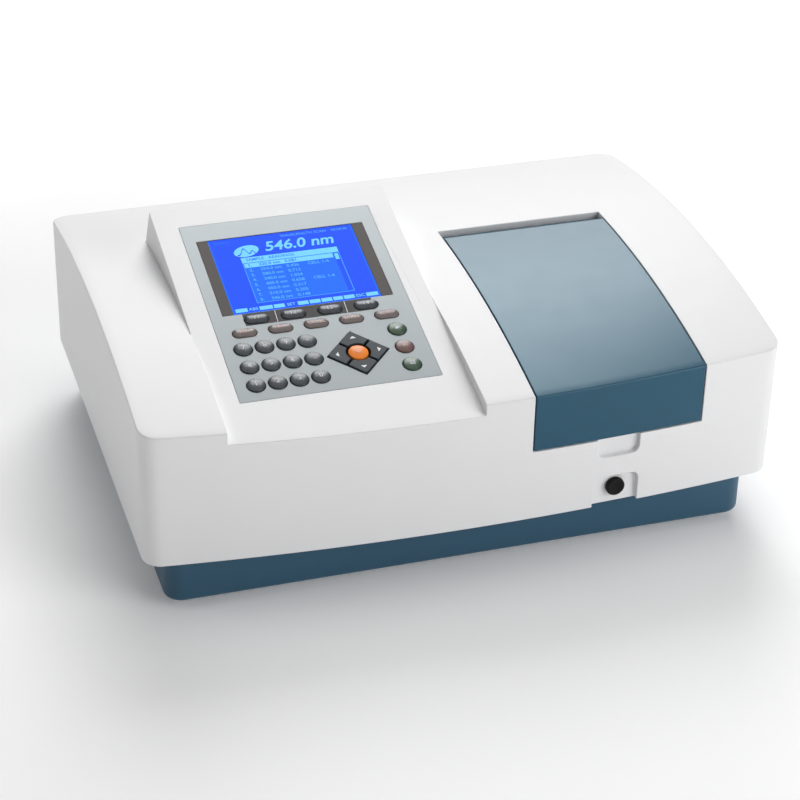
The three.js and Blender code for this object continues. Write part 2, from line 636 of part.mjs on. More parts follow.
function makeRearPanel() {
  const cuts = [
    block(INLET.x - 14 - GAP, INLET.x + 14 + GAP, REAR.front - 5, BACK, INLET.bottom + 2, INLET.top - 2),
    block(SERIAL.x - 9, SERIAL.x + 9, REAR.front - 5, BACK, SERIAL.z - 5, SERIAL.z + 5)];
  for (let i = -3; i <= 3; i += 1) {
    const half = Math.sqrt((FAN.radius - 2) ** 2 - (7 * i) ** 2);
    cuts.push(block(FAN.x - half, FAN.x + half, REAR.front - 5, BACK, FAN.z + 7 * i - 2.2,
      FAN.z + 7 * i + 2.2));
  }
  for (let i = 0; i < 9; i += 1) {
    const x = -80 + 10 * i;
    cuts.push(block(x - 2.2, x + 2.2, REAR.front - 5, BACK, BASE + 72, BASE + 112));
  }
  return cut(block(REAR_PLATE.left, REAR_PLATE.right, REAR.front, PANEL_BACK, REAR_PLATE.bottom,
    REAR_PLATE.top), ...cuts);
}

addPart('rear_panel', MATERIALS.rearPanel, makeRearPanel());

function makeFanFrame() {
  const back = REAR.front - GAP;
  const front = back - 20;
  const hub = rod(11, 3, ALONG_Y, [FAN.x, front, FAN.z]);
  const arm = (a, b) => block(FAN.x - a, FAN.x + a, front, front + 2.5, FAN.z - b, FAN.z + b);
  return join(cut(block(FAN.x - FAN.half, FAN.x + FAN.half, front, back, FAN.z - FAN.half,
    FAN.z + FAN.half), rod(FAN.radius, 40, ALONG_Y, [FAN.x, front - 10, FAN.z], 24)),
  hub, arm(29, 2), arm(2, 29));
}

function makeFanRotor() {
  const front = REAR.front - GAP - 16.5;
  const blades = 7;
  const parts = Array.from({ length: blades }, (_, i) => {
    const blade = new THREE.BoxGeometry(2, 12, 17);
    blade.rotateZ(0.6).translate(0, 0, 17.5).rotateY(i * 2 * Math.PI / blades);
    return blade.translate(FAN.x, front + 7.5, FAN.z);
  });
  return join(rod(10.5, 14, ALONG_Y, [FAN.x, front, FAN.z]), ...parts);
}

addPart('fan_frame', MATERIALS.black, makeFanFrame());
addPart('fan_rotor', MATERIALS.black, makeFanRotor());

const ROCKER = { y: PANEL_BACK - 1.5, z: BASE + 104, half: 10, halfWidth: 6.2 };

function makePowerInlet() {
  const face = PANEL_BACK + GAP + INLET.proud;
  const flange = block(INLET.x - INLET.half, INLET.x + INLET.half, PANEL_BACK + GAP, face,
    INLET.bottom, INLET.top);
  const body = block(INLET.x - 14, INLET.x + 14, face - 28, face - 1, INLET.bottom + 2 + GAP,
    INLET.top - 2 - GAP);
  const socketZ = BASE + 78;
  const socket = block(INLET.x - 12.3, INLET.x + 12.3, face - 17, face + 1, socketZ - 9.5, socketZ + 9.5);
  const well = block(INLET.x - ROCKER.halfWidth - 0.5, INLET.x + ROCKER.halfWidth + 0.5, face - 14,
    face + 1, ROCKER.z - ROCKER.half - 1, ROCKER.z + ROCKER.half + 1);
  const blade = (x, z) => block(INLET.x + x - 1, INLET.x + x + 1, face - 18, face - 6,
    socketZ + z - 2, socketZ + z + 2);
  return join(cut(join(flange, body), socket, well), blade(-7, 2), blade(7, 2), blade(0, -3));
}

addPart('power_inlet', MATERIALS.black, makePowerInlet());

// The rocker tips about X; it is drawn level and turned to its off position.
function makeRocker() {
  const { half, halfWidth } = ROCKER;
  return prismX([[-5, 0], [-3, -half + 3], [1.4, -half + 0.5], [0.4, 0], [1.4, half - 0.5],
    [-3, half - 3]].reverse(), -halfWidth, halfWidth);
}

const rocker = addPart('power_rocker', MATERIALS.black, makeRocker());
rocker.position.set(INLET.x, ROCKER.y, ROCKER.z);
rocker.rotation.x = THREE.MathUtils.degToRad(8);

addPart('serial_port', MATERIALS.steel, join(
  block(SERIAL.x - 15.5, SERIAL.x + 15.5, PANEL_BACK + GAP, PANEL_BACK + 1.2, SERIAL.z - 6.2,
    SERIAL.z + 6.2),
  block(SERIAL.x - 8.5, SERIAL.x + 8.5, PANEL_BACK - 10, PANEL_BACK + 3, SERIAL.z - 4.5, SERIAL.z + 4.5)));

export default instrument;
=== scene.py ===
"""Bench UV-visible spectrophotometer: fine meshes, materials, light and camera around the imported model.

Lengths are in millimetres until a mesh is made. X runs to the right, Y to the back and Z up.
"""

import json
import math

import bmesh
import bpy
from mathutils import Matrix, Vector

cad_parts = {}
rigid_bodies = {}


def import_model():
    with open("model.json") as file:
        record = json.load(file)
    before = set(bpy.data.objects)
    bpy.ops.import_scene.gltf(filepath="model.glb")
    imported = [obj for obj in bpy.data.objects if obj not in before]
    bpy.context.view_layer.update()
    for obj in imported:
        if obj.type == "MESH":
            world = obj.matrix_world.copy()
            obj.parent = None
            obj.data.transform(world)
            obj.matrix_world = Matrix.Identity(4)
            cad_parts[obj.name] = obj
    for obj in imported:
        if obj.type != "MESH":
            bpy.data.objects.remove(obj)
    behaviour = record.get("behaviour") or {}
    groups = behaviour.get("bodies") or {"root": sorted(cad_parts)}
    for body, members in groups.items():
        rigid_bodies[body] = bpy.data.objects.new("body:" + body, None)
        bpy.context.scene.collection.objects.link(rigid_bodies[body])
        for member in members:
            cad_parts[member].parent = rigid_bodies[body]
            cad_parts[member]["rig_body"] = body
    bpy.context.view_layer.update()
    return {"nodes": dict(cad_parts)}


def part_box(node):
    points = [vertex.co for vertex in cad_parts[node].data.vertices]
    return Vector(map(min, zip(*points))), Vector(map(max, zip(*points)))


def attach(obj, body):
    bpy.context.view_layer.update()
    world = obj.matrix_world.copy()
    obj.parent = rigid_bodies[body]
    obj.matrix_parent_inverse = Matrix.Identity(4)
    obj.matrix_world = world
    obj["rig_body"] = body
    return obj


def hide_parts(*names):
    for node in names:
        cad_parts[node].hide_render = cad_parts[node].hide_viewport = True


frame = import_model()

MM = 0.001
BODY_OF = {node: obj["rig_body"] for node, obj in frame["nodes"].items()}


def node_box(node):
    """Lowest and highest corner of a CAD node, in millimetres."""
    low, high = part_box(node)
    return low / MM, high / MM


def node_centre(node):
    low, high = node_box(node)
    return (low + high) / 2


# Cover: straight sides, a bowed front and an arched top.
FRONT_BULGE = 16
CORNER_RADIUS = 16
WALL = 3
TOP_RADIUS = 950
TOP_EDGE = 1.2
COVER_LOW, COVER_HIGH = node_box("upper_cover")
BASE_LOW, BASE_HIGH = node_box("base_tray")
HALF_WIDTH = COVER_HIGH.x
FRONT = COVER_LOW.y + FRONT_BULGE
BACK = COVER_HIGH.y
BASE = BASE_LOW.z
COVER_BOTTOM = COVER_LOW.z
TOP_APEX_Y = FRONT + 191
TOP_APEX_Z = BASE + 180.3
REAR_HOLE = (-222, 222, BASE + 56, BASE + 129)  # left, right, bottom and top

# How far the cutting shapes reach: out in front of the cover and up above it.
AHEAD = FRONT - 40
FAR = 300

# Control console: a wedge that is sunk into the cover at the front and stands above it at the back.
CONSOLE_LEFT = -198.5
CONSOLE_RIGHT = 5.5
CONSOLE_TILT = math.radians(12.63)
CONSOLE_FRONT_Z = BASE + 151.2
CONSOLE_TOP_Y = FRONT + 271.5
CONSOLE_FOOT_Y = FRONT + 291
CONSOLE_REAR_SLOPE = 20.1 / 37.45

# Keypad panel, measured along the console's slope from its upper left corner.
PANEL_LOW, PANEL_HIGH = node_box("keypad_panel")
PANEL_TOP_Y = FRONT + 247
PANEL_WIDTH = PANEL_HIGH.x - PANEL_LOW.x
PANEL_LENGTH = 217.2
PANEL_THICKNESS = 1.4

# Sample compartment, its lid and the lid's hinge.
OPENING_LEFT = 46.3
OPENING_RIGHT = 195
OPENING_BACK = FRONT + 235.3
OPENING_BOTTOM = BASE + 106.8
LIP_THICKNESS = 1.4
LIP_SIDE = 1.2
LIP_DEPTH = 7
LID_GAP = 0.9
LID_BACK = FRONT + 221
LID_EDGE_DEPTH = 8
PIN_CENTRE = node_centre("lid_hinge_pin")
ROD = node_centre("pull_rod")

# Finger notch and knob pocket in the front, measured like the rear hole.
NOTCH = (103, 140, BASE + 89.5, OPENING_BOTTOM + 1)
POCKET = (101, 141, COVER_BOTTOM - 1, BASE + 70.8)
RECESS_DEPTH = 4.6
RECESS_CORNER = 7

X_AXIS, Y_AXIS, Z_AXIS = (1, 0, 0), (0, 1, 0), (0, 0, 1)


# ---- outlines

def spread(start, stop, steps):
    """Evenly spaced values, both ends included."""
    return [start + (stop - start) * i / steps for i in range(steps + 1)]


def arc(cx, cy, radius, start, stop, steps):
    """Points of an arc, both ends included, with its angles in quarter turns."""
    angles = [a * math.pi / 2 for a in spread(start, stop, steps)]
    return [(cx + radius * math.cos(a), cy + radius * math.sin(a)) for a in angles]


def rounded_rectangle(x0, x1, y0, y1, radius, steps=6):
    return (arc(x1 - radius, y0 + radius, radius, -1, 0, steps)
            + arc(x1 - radius, y1 - radius, radius, 0, 1, steps)
            + arc(x0 + radius, y1 - radius, radius, 1, 2, steps)
            + arc(x0 + radius, y0 + radius, radius, 2, 3, steps))


def pill(cx, cy, straight, radius, steps=12):
    """A straight stretch along the first axis between two half circles."""
    return (arc(cx + straight / 2, cy, radius, -1, 1, steps)
            + arc(cx - straight / 2, cy, radius, 1, 3, steps))


def circle(radius, steps=32):
    return arc(0, 0, radius, 0, 4, steps)[:-1]


def at(height, outline):
    """Points in space from an outline seen from above."""
    return [(x, y, height) for x, y in outline]


def shifted(outline, dx, dy):
    return [(a + dx, b + dy) for a, b in outline]


def upright(outline):
    """The outline turned a quarter."""
    return [(-b, a) for a, b in outline]


# ---- solids

def new_object(name, vertices, faces, place=None):
    """A mesh object from points in millimetres, with its faces turned outwards."""
    weld = 2e-6
    place = place or Matrix.Identity(4)
    mesh = bpy.data.meshes.new(name)
    mesh.from_pydata([(place @ Vector(v)) * MM for v in vertices], [], faces)
    shape = bmesh.new()
    shape.from_mesh(mesh)
    bmesh.ops.remove_doubles(shape, verts=shape.verts, dist=weld)
    bmesh.ops.recalc_face_normals(shape, faces=shape.faces)
    shape.to_mesh(mesh)
    shape.free()
    return linked(name, mesh)


def linked(name, data):
    """A new object in the scene."""
    obj = bpy.data.objects.new(name, data)
    bpy.context.scene.collection.objects.link(obj)
    return obj


def grid_faces(rows, count, first=0, ring=True):
    """Four-sided faces between rows of points, which may each close into a ring."""
    return [(first + r * count + i, first + r * count + (i + 1) % count,
             first + (r + 1) * count + (i + 1) % count, first + (r + 1) * count + i)
            for r in range(rows - 1) for i in range(count if ring else count - 1)]


def loft(name, rings, place=None):
    """A closed solid through rings that have the same number of points."""
    count = len(rings[0])
    faces = grid_faces(len(rings), count)
    faces.append(tuple(reversed(range(count))))
    faces.append(tuple(range((len(rings) - 1) * count, len(rings) * count)))
    return new_object(name, [p for ring in rings for p in ring], faces, place)


def prism(name, outline, axis, start, stop, place=None):
    """An outline moved along an axis: (x, y) along Z, (y, z) along X or (x, z) along Y."""
    ways = {"X": lambda a, b, t: (t, a, b), "Y": lambda a, b, t: (a, t, b), "Z": lambda a, b, t: (a, b, t)}
    return loft(name, [[ways[axis](a, b, t) for a, b in outline] for t in (start, stop)], place)


def rounded_plate(name, low, high, radius, y0, y1):
    """A plate that faces backwards, as wide and tall as a box between two corners."""
    return prism(name, rounded_rectangle(low.x, high.x, low.z, high.z, radius), "Y", y0, y1)


def block(name, x0, x1, y0, y1, z0, z1, place=None):
    return prism(name, [(x0, y0), (x1, y0), (x1, y1), (x0, y1)], "Z", z0, z1, place)


def beam(name, x, z, half_width, half_height, y0, y1):
    """A block along Y about a centre line."""
    return block(name, x - half_width, x + half_width, y0, y1, z - half_height, z + half_height)


def aim(direction, centre):
    """A placement that turns Z to a direction and moves the origin to a centre."""
    turn = Vector(Z_AXIS).rotation_difference(Vector(direction)).to_matrix().to_4x4()
    return Matrix.Translation(centre) @ turn


def turned(name, profile, direction, centre, steps=64):
    """A profile of (radius, height) points turned about an axis, closed at both ends."""
    rings = [[(r * math.cos(a), r * math.sin(a), h) for a in
              [2 * math.pi * i / steps for i in range(steps)]] for r, h in profile]
    return loft(name, rings, aim(direction, centre))


def cylinder(name, radius, length, direction, start, steps=64):
    return turned(name, [(radius, 0), (radius, length)], direction, start, steps)


def baked(obj):
    """The object with its modifiers applied."""
    graph = bpy.context.evaluated_depsgraph_get()
    mesh = bpy.data.meshes.new_from_object(obj.evaluated_get(graph))
    obj.modifiers.clear()
    obj.data = mesh
    return obj


def combine(obj, operation, *tools):
    for tool in tools:
        modifier = obj.modifiers.new(operation, "BOOLEAN")
        modifier.operation = operation
        modifier.solver = "MANIFOLD"
        modifier.object = tool
    baked(obj)
    for tool in tools:
        bpy.data.objects.remove(tool)
    return obj


def cut(obj, *tools):
    return combine(obj, "DIFFERENCE", *tools)


def join(obj, *tools):
    return combine(obj, "UNION", *tools)


def common(obj, *tools):
    return combine(obj, "INTERSECT", *tools)


def shade(obj, sharp=40):
    """Smooth faces, with the edges above an angle in degrees kept sharp."""
    shape = bmesh.new()
    shape.from_mesh(obj.data)
    for face in shape.faces:
        face.smooth = True
    for edge in shape.edges:
        edge.smooth = len(edge.link_faces) == 2 and edge.calc_face_angle(0) < math.radians(sharp)
    shape.to_mesh(obj.data)
    shape.free()
    return obj


def bevel(obj, width, segments, angle):
    """A modifier that rounds the edges sharper than an angle in degrees."""
    edges = obj.modifiers.new("edges", "BEVEL")
    edges.width = width * MM
    edges.segments = segments
    edges.limit_method = "ANGLE"
    edges.angle_limit = math.radians(angle)
    edges.harden_normals = True
    return edges


def soften(obj, width, segments=3):
    """Cleans a mesh after its cuts and rounds its edges for good."""
    weld, sliver = 0.02 * MM, 0.01 * MM
    shape = bmesh.new()
    shape.from_mesh(obj.data)
    bmesh.ops.remove_doubles(shape, verts=shape.verts, dist=weld)
    bmesh.ops.dissolve_degenerate(shape, edges=shape.edges, dist=sliver)
    shape.to_mesh(obj.data)
    shape.free()
    for face in obj.data.polygons:
        face.use_smooth = True
    edges = bevel(obj, width, segments, 30)
    edges.use_clamp_overlap = False
    edges.miter_outer = "MITER_ARC"
    return baked(obj)


def merged(name, parts):
    """One object from (object, look) pairs, with a material slot for each look."""
    mesh = bpy.data.meshes.new(name)
    shape = bmesh.new()
    for part, look in parts:
        material = LOOK[look]
        if material.name not in mesh.materials:
            mesh.materials.append(material)
        first = len(shape.faces)
        shape.from_mesh(part.data)
        shape.faces.ensure_lookup_table()
        for face in shape.faces[first:]:
            face.material_index = mesh.materials.find(material.name)
        bpy.data.objects.remove(part)
    shape.to_mesh(mesh)
    shape.free()
    return linked(name, mesh)


def paint(obj, look):
    obj.data.materials.clear()
    obj.data.materials.append(LOOK[look])
    return obj


def show(obj, body, slot, *nodes):
    """The piece moves with a body and stands for the CAD nodes named; the slot is not used."""
    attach(obj, body)
    if nodes:
        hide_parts(*nodes)
    return obj


# ---- materials

def graph_of(material):
    material.use_nodes = True
    tree = material.node_tree
    return tree, tree.nodes["Principled BSDF"]


def plug(tree, node, **inputs):
    """Sets a node's inputs to values, or links them to other nodes' outputs."""
    for name, value in inputs.items():
        socket = node.inputs[name.replace("_", " ")]
        if isinstance(value, bpy.types.NodeSocket):
            tree.links.new(value, socket)
        else:
            socket.default_value = value
    return node


def add_node(tree, kind, **inputs):
    return plug(tree, tree.nodes.new("ShaderNode" + kind), **inputs)


def place_of(tree):
    """The piece's own coordinates, in metres."""
    return add_node(tree, "TexCoord").outputs["Object"]


def noise(tree, scale, detail, place=None, **inputs):
    """Procedural noise, scaled in waves per metre of the piece unless another place is given."""
    place = place or place_of(tree)
    return add_node(tree, "TexNoise", Vector=place, Scale=scale, Detail=detail, **inputs).outputs["Fac"]


def ranged(tree, source, low, high, start=0.3, stop=0.7):
    """A value between start and stop, where most of a noise lies, mapped to a range."""
    span = add_node(tree, "MapRange", Value=source, From_Min=start, From_Max=stop, To_Min=low, To_Max=high)
    return span.outputs["Result"]


def blend_colours(tree, factor, first, second):
    mix = tree.nodes.new("ShaderNodeMix")
    mix.data_type = "RGBA"
    plug(tree, mix, A=(*first, 1), B=(*second, 1), Factor=factor)
    return mix.outputs["Result"]


def bump(tree, shader, height, depth):
    """Relief of a depth in metres from a height output."""
    relief = add_node(tree, "Bump", Strength=1, Distance=depth, Height=height)
    plug(tree, shader, Normal=relief.outputs["Normal"])


def srgb(*levels):
    """Linear colour from 0 to 255 levels."""
    return tuple((v / 255 / 12.92) if v <= 10 else ((v / 255 + 0.055) / 1.055) ** 2.4 for v in levels)


def scaled(colour, share):
    return tuple(min(1.0, c * share) for c in colour)


def varied(name, colour, roughness, drift=0.04, grain=1200, relief=2e-6, metallic=0.0):
    """A solid finish: slight drift in colour and gloss, and a fine moulded or blasted grain."""
    uneven = 0.05
    material = bpy.data.materials.new(name)
    tree, shader = graph_of(material)
    clouds = ranged(tree, noise(tree, 9, 4, Roughness=0.6), 0, 1)
    patches = noise(tree, 55, 6)
    plug(tree, shader, Metallic=metallic,
         Base_Color=blend_colours(tree, clouds, scaled(colour, 1 - drift), scaled(colour, 1 + drift)),
         Roughness=ranged(tree, patches, roughness * (1 - uneven), roughness * (1 + uneven)))
    bump(tree, shader, noise(tree, grain, 2), relief)
    return material


def paint_shade_towards_front(material, start, stop, level):
    """Painted shade: darkens a finish's colour towards the front, full at one Y in millimetres, down to a
    level at another.
    """
    tree, shader = graph_of(material)
    colour = shader.inputs["Base Color"].links[0].from_socket
    along = add_node(tree, "SeparateXYZ", Vector=place_of(tree)).outputs["Y"]
    painted_shade = tree.nodes.new("ShaderNodeVectorMath")
    painted_shade.operation = "SCALE"
    tree.links.new(colour, painted_shade.inputs[0])
    plug(tree, painted_shade, Scale=ranged(tree, along, level, 1, stop * MM, start * MM))
    plug(tree, shader, Base_Color=painted_shade.outputs["Vector"])


def gloss(material, level, tint=(1, 1, 1)):
    """Sets the strength and tint of a finish's reflections; the strength is 0.5 on plain plastic."""
    plug(*graph_of(material), Specular_IOR_Level=level, Specular_Tint=(*tint, 1))


def brushed(name, colour, roughness):
    """Metal with fine streaks along one axis."""
    stretch = (1, 40, 40)
    material = bpy.data.materials.new(name)
    tree, shader = graph_of(material)
    stretched = add_node(tree, "Mapping", Vector=place_of(tree), Scale=stretch)
    streaks = noise(tree, 60, 5, stretched.outputs["Vector"])
    plug(tree, shader, Metallic=1.0, Roughness=ranged(tree, streaks, roughness * 0.8, roughness * 1.2),
         Base_Color=blend_colours(tree, ranged(tree, streaks, 0, 1), scaled(colour, 0.85), colour))
    bump(tree, shader, streaks, 3e-6)
    return material


def lit(name, colour):
    """A backlit display colour under a slightly glossy surface, with a faint pixel raster."""
    material = bpy.data.materials.new(name)
    tree, shader = graph_of(material)
    raster = ranged(tree, noise(tree, 400, 1), 0, 1)
    plug(tree, shader, Emission_Color=blend_colours(tree, raster, scaled(colour, 0.93), colour),
         Emission_Strength=1.0, Base_Color=(*scaled(colour, 0.05), 1), Roughness=0.3, Specular_IOR_Level=0.03)
    return material


# Name, colour, roughness, drift of the colour, grain per metre, depth of the grain in metres, metal.
FINISHES = {
    "cover": ("cover_plastic", (235, 235, 236), 0.48, 0.008),
    "base": ("base_plastic", (42, 84, 108), 0.45, 0.03, 900, 4e-6),
    "lid": ("lid_plastic", (24, 74, 99), 0.3, 0.03, 900, 4e-6),
    "panel": ("panel_silver", (182, 192, 196), 0.38, 0.02),
    "bezel": ("screen_bezel_print", (70, 63, 60), 0.3, 0.06, 1200, 5e-7),
    "print": ("panel_dark_print", (52, 48, 48), 0.3, 0.1, 1200, 1e-6),
    "dark_key": ("key_grey", (62, 68, 74), 0.27, 0.05),
    "mode_key": ("key_warm_grey", (120, 109, 107), 0.27, 0.05),
    "green_key": ("key_green", (62, 86, 66), 0.27, 0.05),
    "brown_key": ("key_brown", (112, 84, 80), 0.27, 0.05),
    "arrow_key": ("key_arrow_grey", (50, 57, 63), 0.34, 0.05),
    "orange_key": ("key_orange", (252, 140, 52), 0.3, 0.05),
    "legend": ("key_legend", (196, 202, 206), 0.4, 0.03),
    "warm_legend": ("key_legend_warm", (186, 146, 138), 0.4, 0.03),
    "divider": ("panel_white_line", (224, 228, 230), 0.4, 0.02),
    "black": ("black_plastic_moulded", (40, 41, 43), 0.48, 0.1, 700, 5e-6),
    "anodised": ("black_anodised_metal", (66, 68, 71), 0.45, 0.12, 1500, 2e-6, 0.3),
    "knob": ("knob_black", (12, 12, 13), 0.5, 0.1, 900, 4e-6),
    "rubber": ("foot_rubber_black", (26, 26, 27), 0.75, 0.15, 500, 1e-5),
    "casting": ("cast_aluminium", (150, 154, 158), 0.5, 0.08, 600, 1.2e-5, 0.9),
    "board": ("circuit_board_green", (28, 84, 54), 0.4, 0.12, 250, 8e-6),
    "rear": ("rear_panel_paint", (74, 82, 88), 0.5, 0.04, 800, 8e-6),
    "lamp": ("lamp_glass_envelope", (222, 230, 235), 0.08, 0.02, 1200, 1e-7),
}
REFLECTIONS = {"base": 0.4, "panel": 0.36, "bezel": 0.1, "print": 0.1, "arrow_key": 0.14, "orange_key": 0.3,
               "knob": 0.2}
DISPLAY = {
    "screen_blue": ("lcd_blue", (26, 84, 250)), "screen_field": ("lcd_list_blue", (28, 112, 252)),
    "screen_mid": ("lcd_mid_blue", (84, 176, 255)), "screen_light": ("lcd_light_cyan", (122, 214, 255)),
}
LOOK = {look: varied(name, srgb(*levels), *rest) for look, (name, levels, *rest) in FINISHES.items()}
for look, strength in REFLECTIONS.items():
    gloss(LOOK[look], strength)
gloss(LOOK["lid"], 0.56, tint=(0.7, 0.93, 1))
# Painted shade on the silver panel: its colour darkens towards the front edge, down to 0.7.
paint_shade_towards_front(LOOK["panel"], PANEL_TOP_Y, PANEL_LOW.y, level=0.7)
for look, (name, levels) in DISPLAY.items():
    LOOK[look] = lit(name, srgb(*levels))
LOOK["steel"] = brushed("bright_steel", srgb(190, 194, 197), 0.28)


# ---- the body's envelope

# The cover's columns and rows keep clear of the sides of its holes.
FRONT_CUTS = (REAR_HOLE[0], CONSOLE_LEFT, CONSOLE_RIGHT, OPENING_LEFT, (NOTCH[0] + POCKET[0]) / 2,
              (NOTCH[1] + POCKET[1]) / 2, OPENING_RIGHT, REAR_HOLE[1])
SIDE_CUTS = (OPENING_BACK, CONSOLE_FOOT_Y)


def top_height(y):
    return TOP_APEX_Z - TOP_RADIUS + math.sqrt(TOP_RADIUS ** 2 - (y - TOP_APEX_Y) ** 2)


def front_line(x):
    return FRONT - FRONT_BULGE * (1 - (x / HALF_WIDTH) ** 2)


def stations(start, stop, cuts, spacing):
    """Places along a line, kept a margin away from each cut."""
    margin = 3.5
    ends = [start, *[c for c in cuts if start + margin < c < stop - margin], stop]
    places = [start]
    for a, b in zip(ends, ends[1:]):
        low = a if a == start else a + margin
        high = b if b == stop else b - margin
        steps = max(1, round((high - low) / spacing))
        places += spread(low, high, steps)[1 if a == start else 0:]
    return places


CENTRE_X = HALF_WIDTH - CORNER_RADIUS
FRONT_LEAN = math.atan(2 * FRONT_BULGE * CENTRE_X / HALF_WIDTH ** 2)
FRONT_CENTRE_Y = front_line(CENTRE_X) + CORNER_RADIUS / math.cos(FRONT_LEAN)
BACK_CENTRE_Y = BACK - CORNER_RADIUS
COLUMNS = stations(-CENTRE_X, CENTRE_X, FRONT_CUTS, spacing=9)
ROWS = stations(FRONT_CENTRE_Y, BACK_CENTRE_Y, SIDE_CUTS, spacing=8)
CORNER_STEPS = 10


def plan_ring(inset):
    """The cover seen from above, moved inwards, from the left end of its front and anticlockwise."""
    radius = max(CORNER_RADIUS - inset, 0)
    turn = 1 - FRONT_LEAN / (math.pi / 2)
    end_x = CENTRE_X + radius * math.sin(FRONT_LEAN)
    front = [(x * end_x / CENTRE_X, front_line(x * end_x / CENTRE_X) + inset) for x in COLUMNS]
    side_x = CENTRE_X + CORNER_RADIUS - inset
    right = [(side_x, y) for y in ROWS]
    back = [(x, BACK - inset) for x in reversed(COLUMNS)]
    left = [(-side_x, y) for y in reversed(ROWS)]
    corners = [arc(CENTRE_X, FRONT_CENTRE_Y, radius, -turn, 0, CORNER_STEPS),
               arc(CENTRE_X, BACK_CENTRE_Y, radius, 0, 1, CORNER_STEPS),
               arc(-CENTRE_X, BACK_CENTRE_Y, radius, 1, 2, CORNER_STEPS),
               arc(-CENTRE_X, FRONT_CENTRE_Y, radius, 2, 2 + turn, CORNER_STEPS)]
    front[0], front[-1] = corners[3][-1], corners[0][0]
    ring = []
    for side, corner in zip((front, right, back, left), corners):
        ring += side + corner[1:-1]
    return ring


def body(name, inset, bottom):
    """Everything under the arched top, inset by a wall thickness, with a rounded top edge."""
    rings = [at(bottom, plan_ring(inset))]
    for angle in spread(0, math.pi / 2, 5):
        outline = plan_ring(inset + TOP_EDGE * (1 - math.cos(angle)))
        fall = inset + TOP_EDGE * (1 - math.sin(angle))
        rings.append([(x, y, top_height(y) - fall) for x, y in outline])
    for depth in (CORNER_RADIUS / 2, CORNER_RADIUS):
        if depth > inset + TOP_EDGE + 1:
            rings.append([(x, y, top_height(y) - inset) for x, y in plan_ring(depth)])
    count = len(rings[0])
    vertices = [p for ring in rings for p in ring]
    faces = grid_faces(len(rings), count)
    faces.append(tuple(reversed(range(count))))
    # The middle of the top: rows follow the bowed front and straighten towards the back.
    first = len(vertices)
    reach = 60
    for y in ROWS:
        share = max(0, 1 - (y - FRONT_CENTRE_Y) / reach)
        for x in COLUMNS:
            bow = 0 if abs(x) == CENTRE_X else front_line(x) + CORNER_RADIUS - FRONT_CENTRE_Y
            place_y = y + bow * share
            vertices.append((x, place_y, top_height(place_y) - inset))
    faces += grid_faces(len(ROWS), len(COLUMNS), first, ring=False)
    return new_object(name, vertices, faces)


def console_height(y):
    return CONSOLE_FRONT_Z + math.tan(CONSOLE_TILT) * (y - FRONT)


def console_hollow(margin):
    """The space above the console's face, widened and lowered by a wall thickness."""
    back = CONSOLE_TOP_Y + 20
    drop = margin / math.cos(CONSOLE_TILT)
    outline = [(AHEAD, console_height(AHEAD) - drop), (back, console_height(back) - drop),
               (back, FAR), (AHEAD, FAR)]
    return prism("console_hollow", outline, "X", CONSOLE_LEFT - margin, CONSOLE_RIGHT + margin)


def console_rise(margin):
    """The raised part of the console before its face is cut, narrowed by a wall thickness."""
    front, low = FRONT + 100, BASE + 140
    top = console_height(CONSOLE_TOP_Y)
    high = top + 15

    def rear(z):
        return CONSOLE_TOP_Y - margin + CONSOLE_REAR_SLOPE * (top - z)

    return prism("console_rise", [(front, low), (rear(low), low), (rear(high), high), (front, high)], "X",
                 CONSOLE_LEFT + margin, CONSOLE_RIGHT - margin)


def cover_block(name, inset, bottom):
    return cut(join(body(name, inset, bottom), console_rise(inset)), console_hollow(inset))


def front_recess(spot, round_top, grow, depth):
    """A shallow recess in the bowed front, grown by a wall, with a floor that follows the front."""
    left, right, low, high = spot
    left, right = left - grow, right + grow
    r = RECESS_CORNER
    if round_top:
        high += grow
        outline = ([(left, low), (right, low)] + arc(right - r, high - r, r, 0, 1, 8)
                   + arc(left + r, high - r, r, 1, 2, 8))
    else:
        low -= grow
        outline = ([(right, high), (left, high)] + arc(left + r, low + r, r, 2, 3, 8)
                   + arc(right - r, low + r, r, 3, 4, 8))
    return cut(prism("recess", outline, "Y", AHEAD, FRONT + 20), body("floor", depth, BASE))


PANEL_PLACE = (Matrix.Translation((PANEL_LOW.x, PANEL_TOP_Y, console_height(PANEL_TOP_Y)))
               @ Matrix.Rotation(CONSOLE_TILT, 4, "X"))


# ---- cover, base and feet

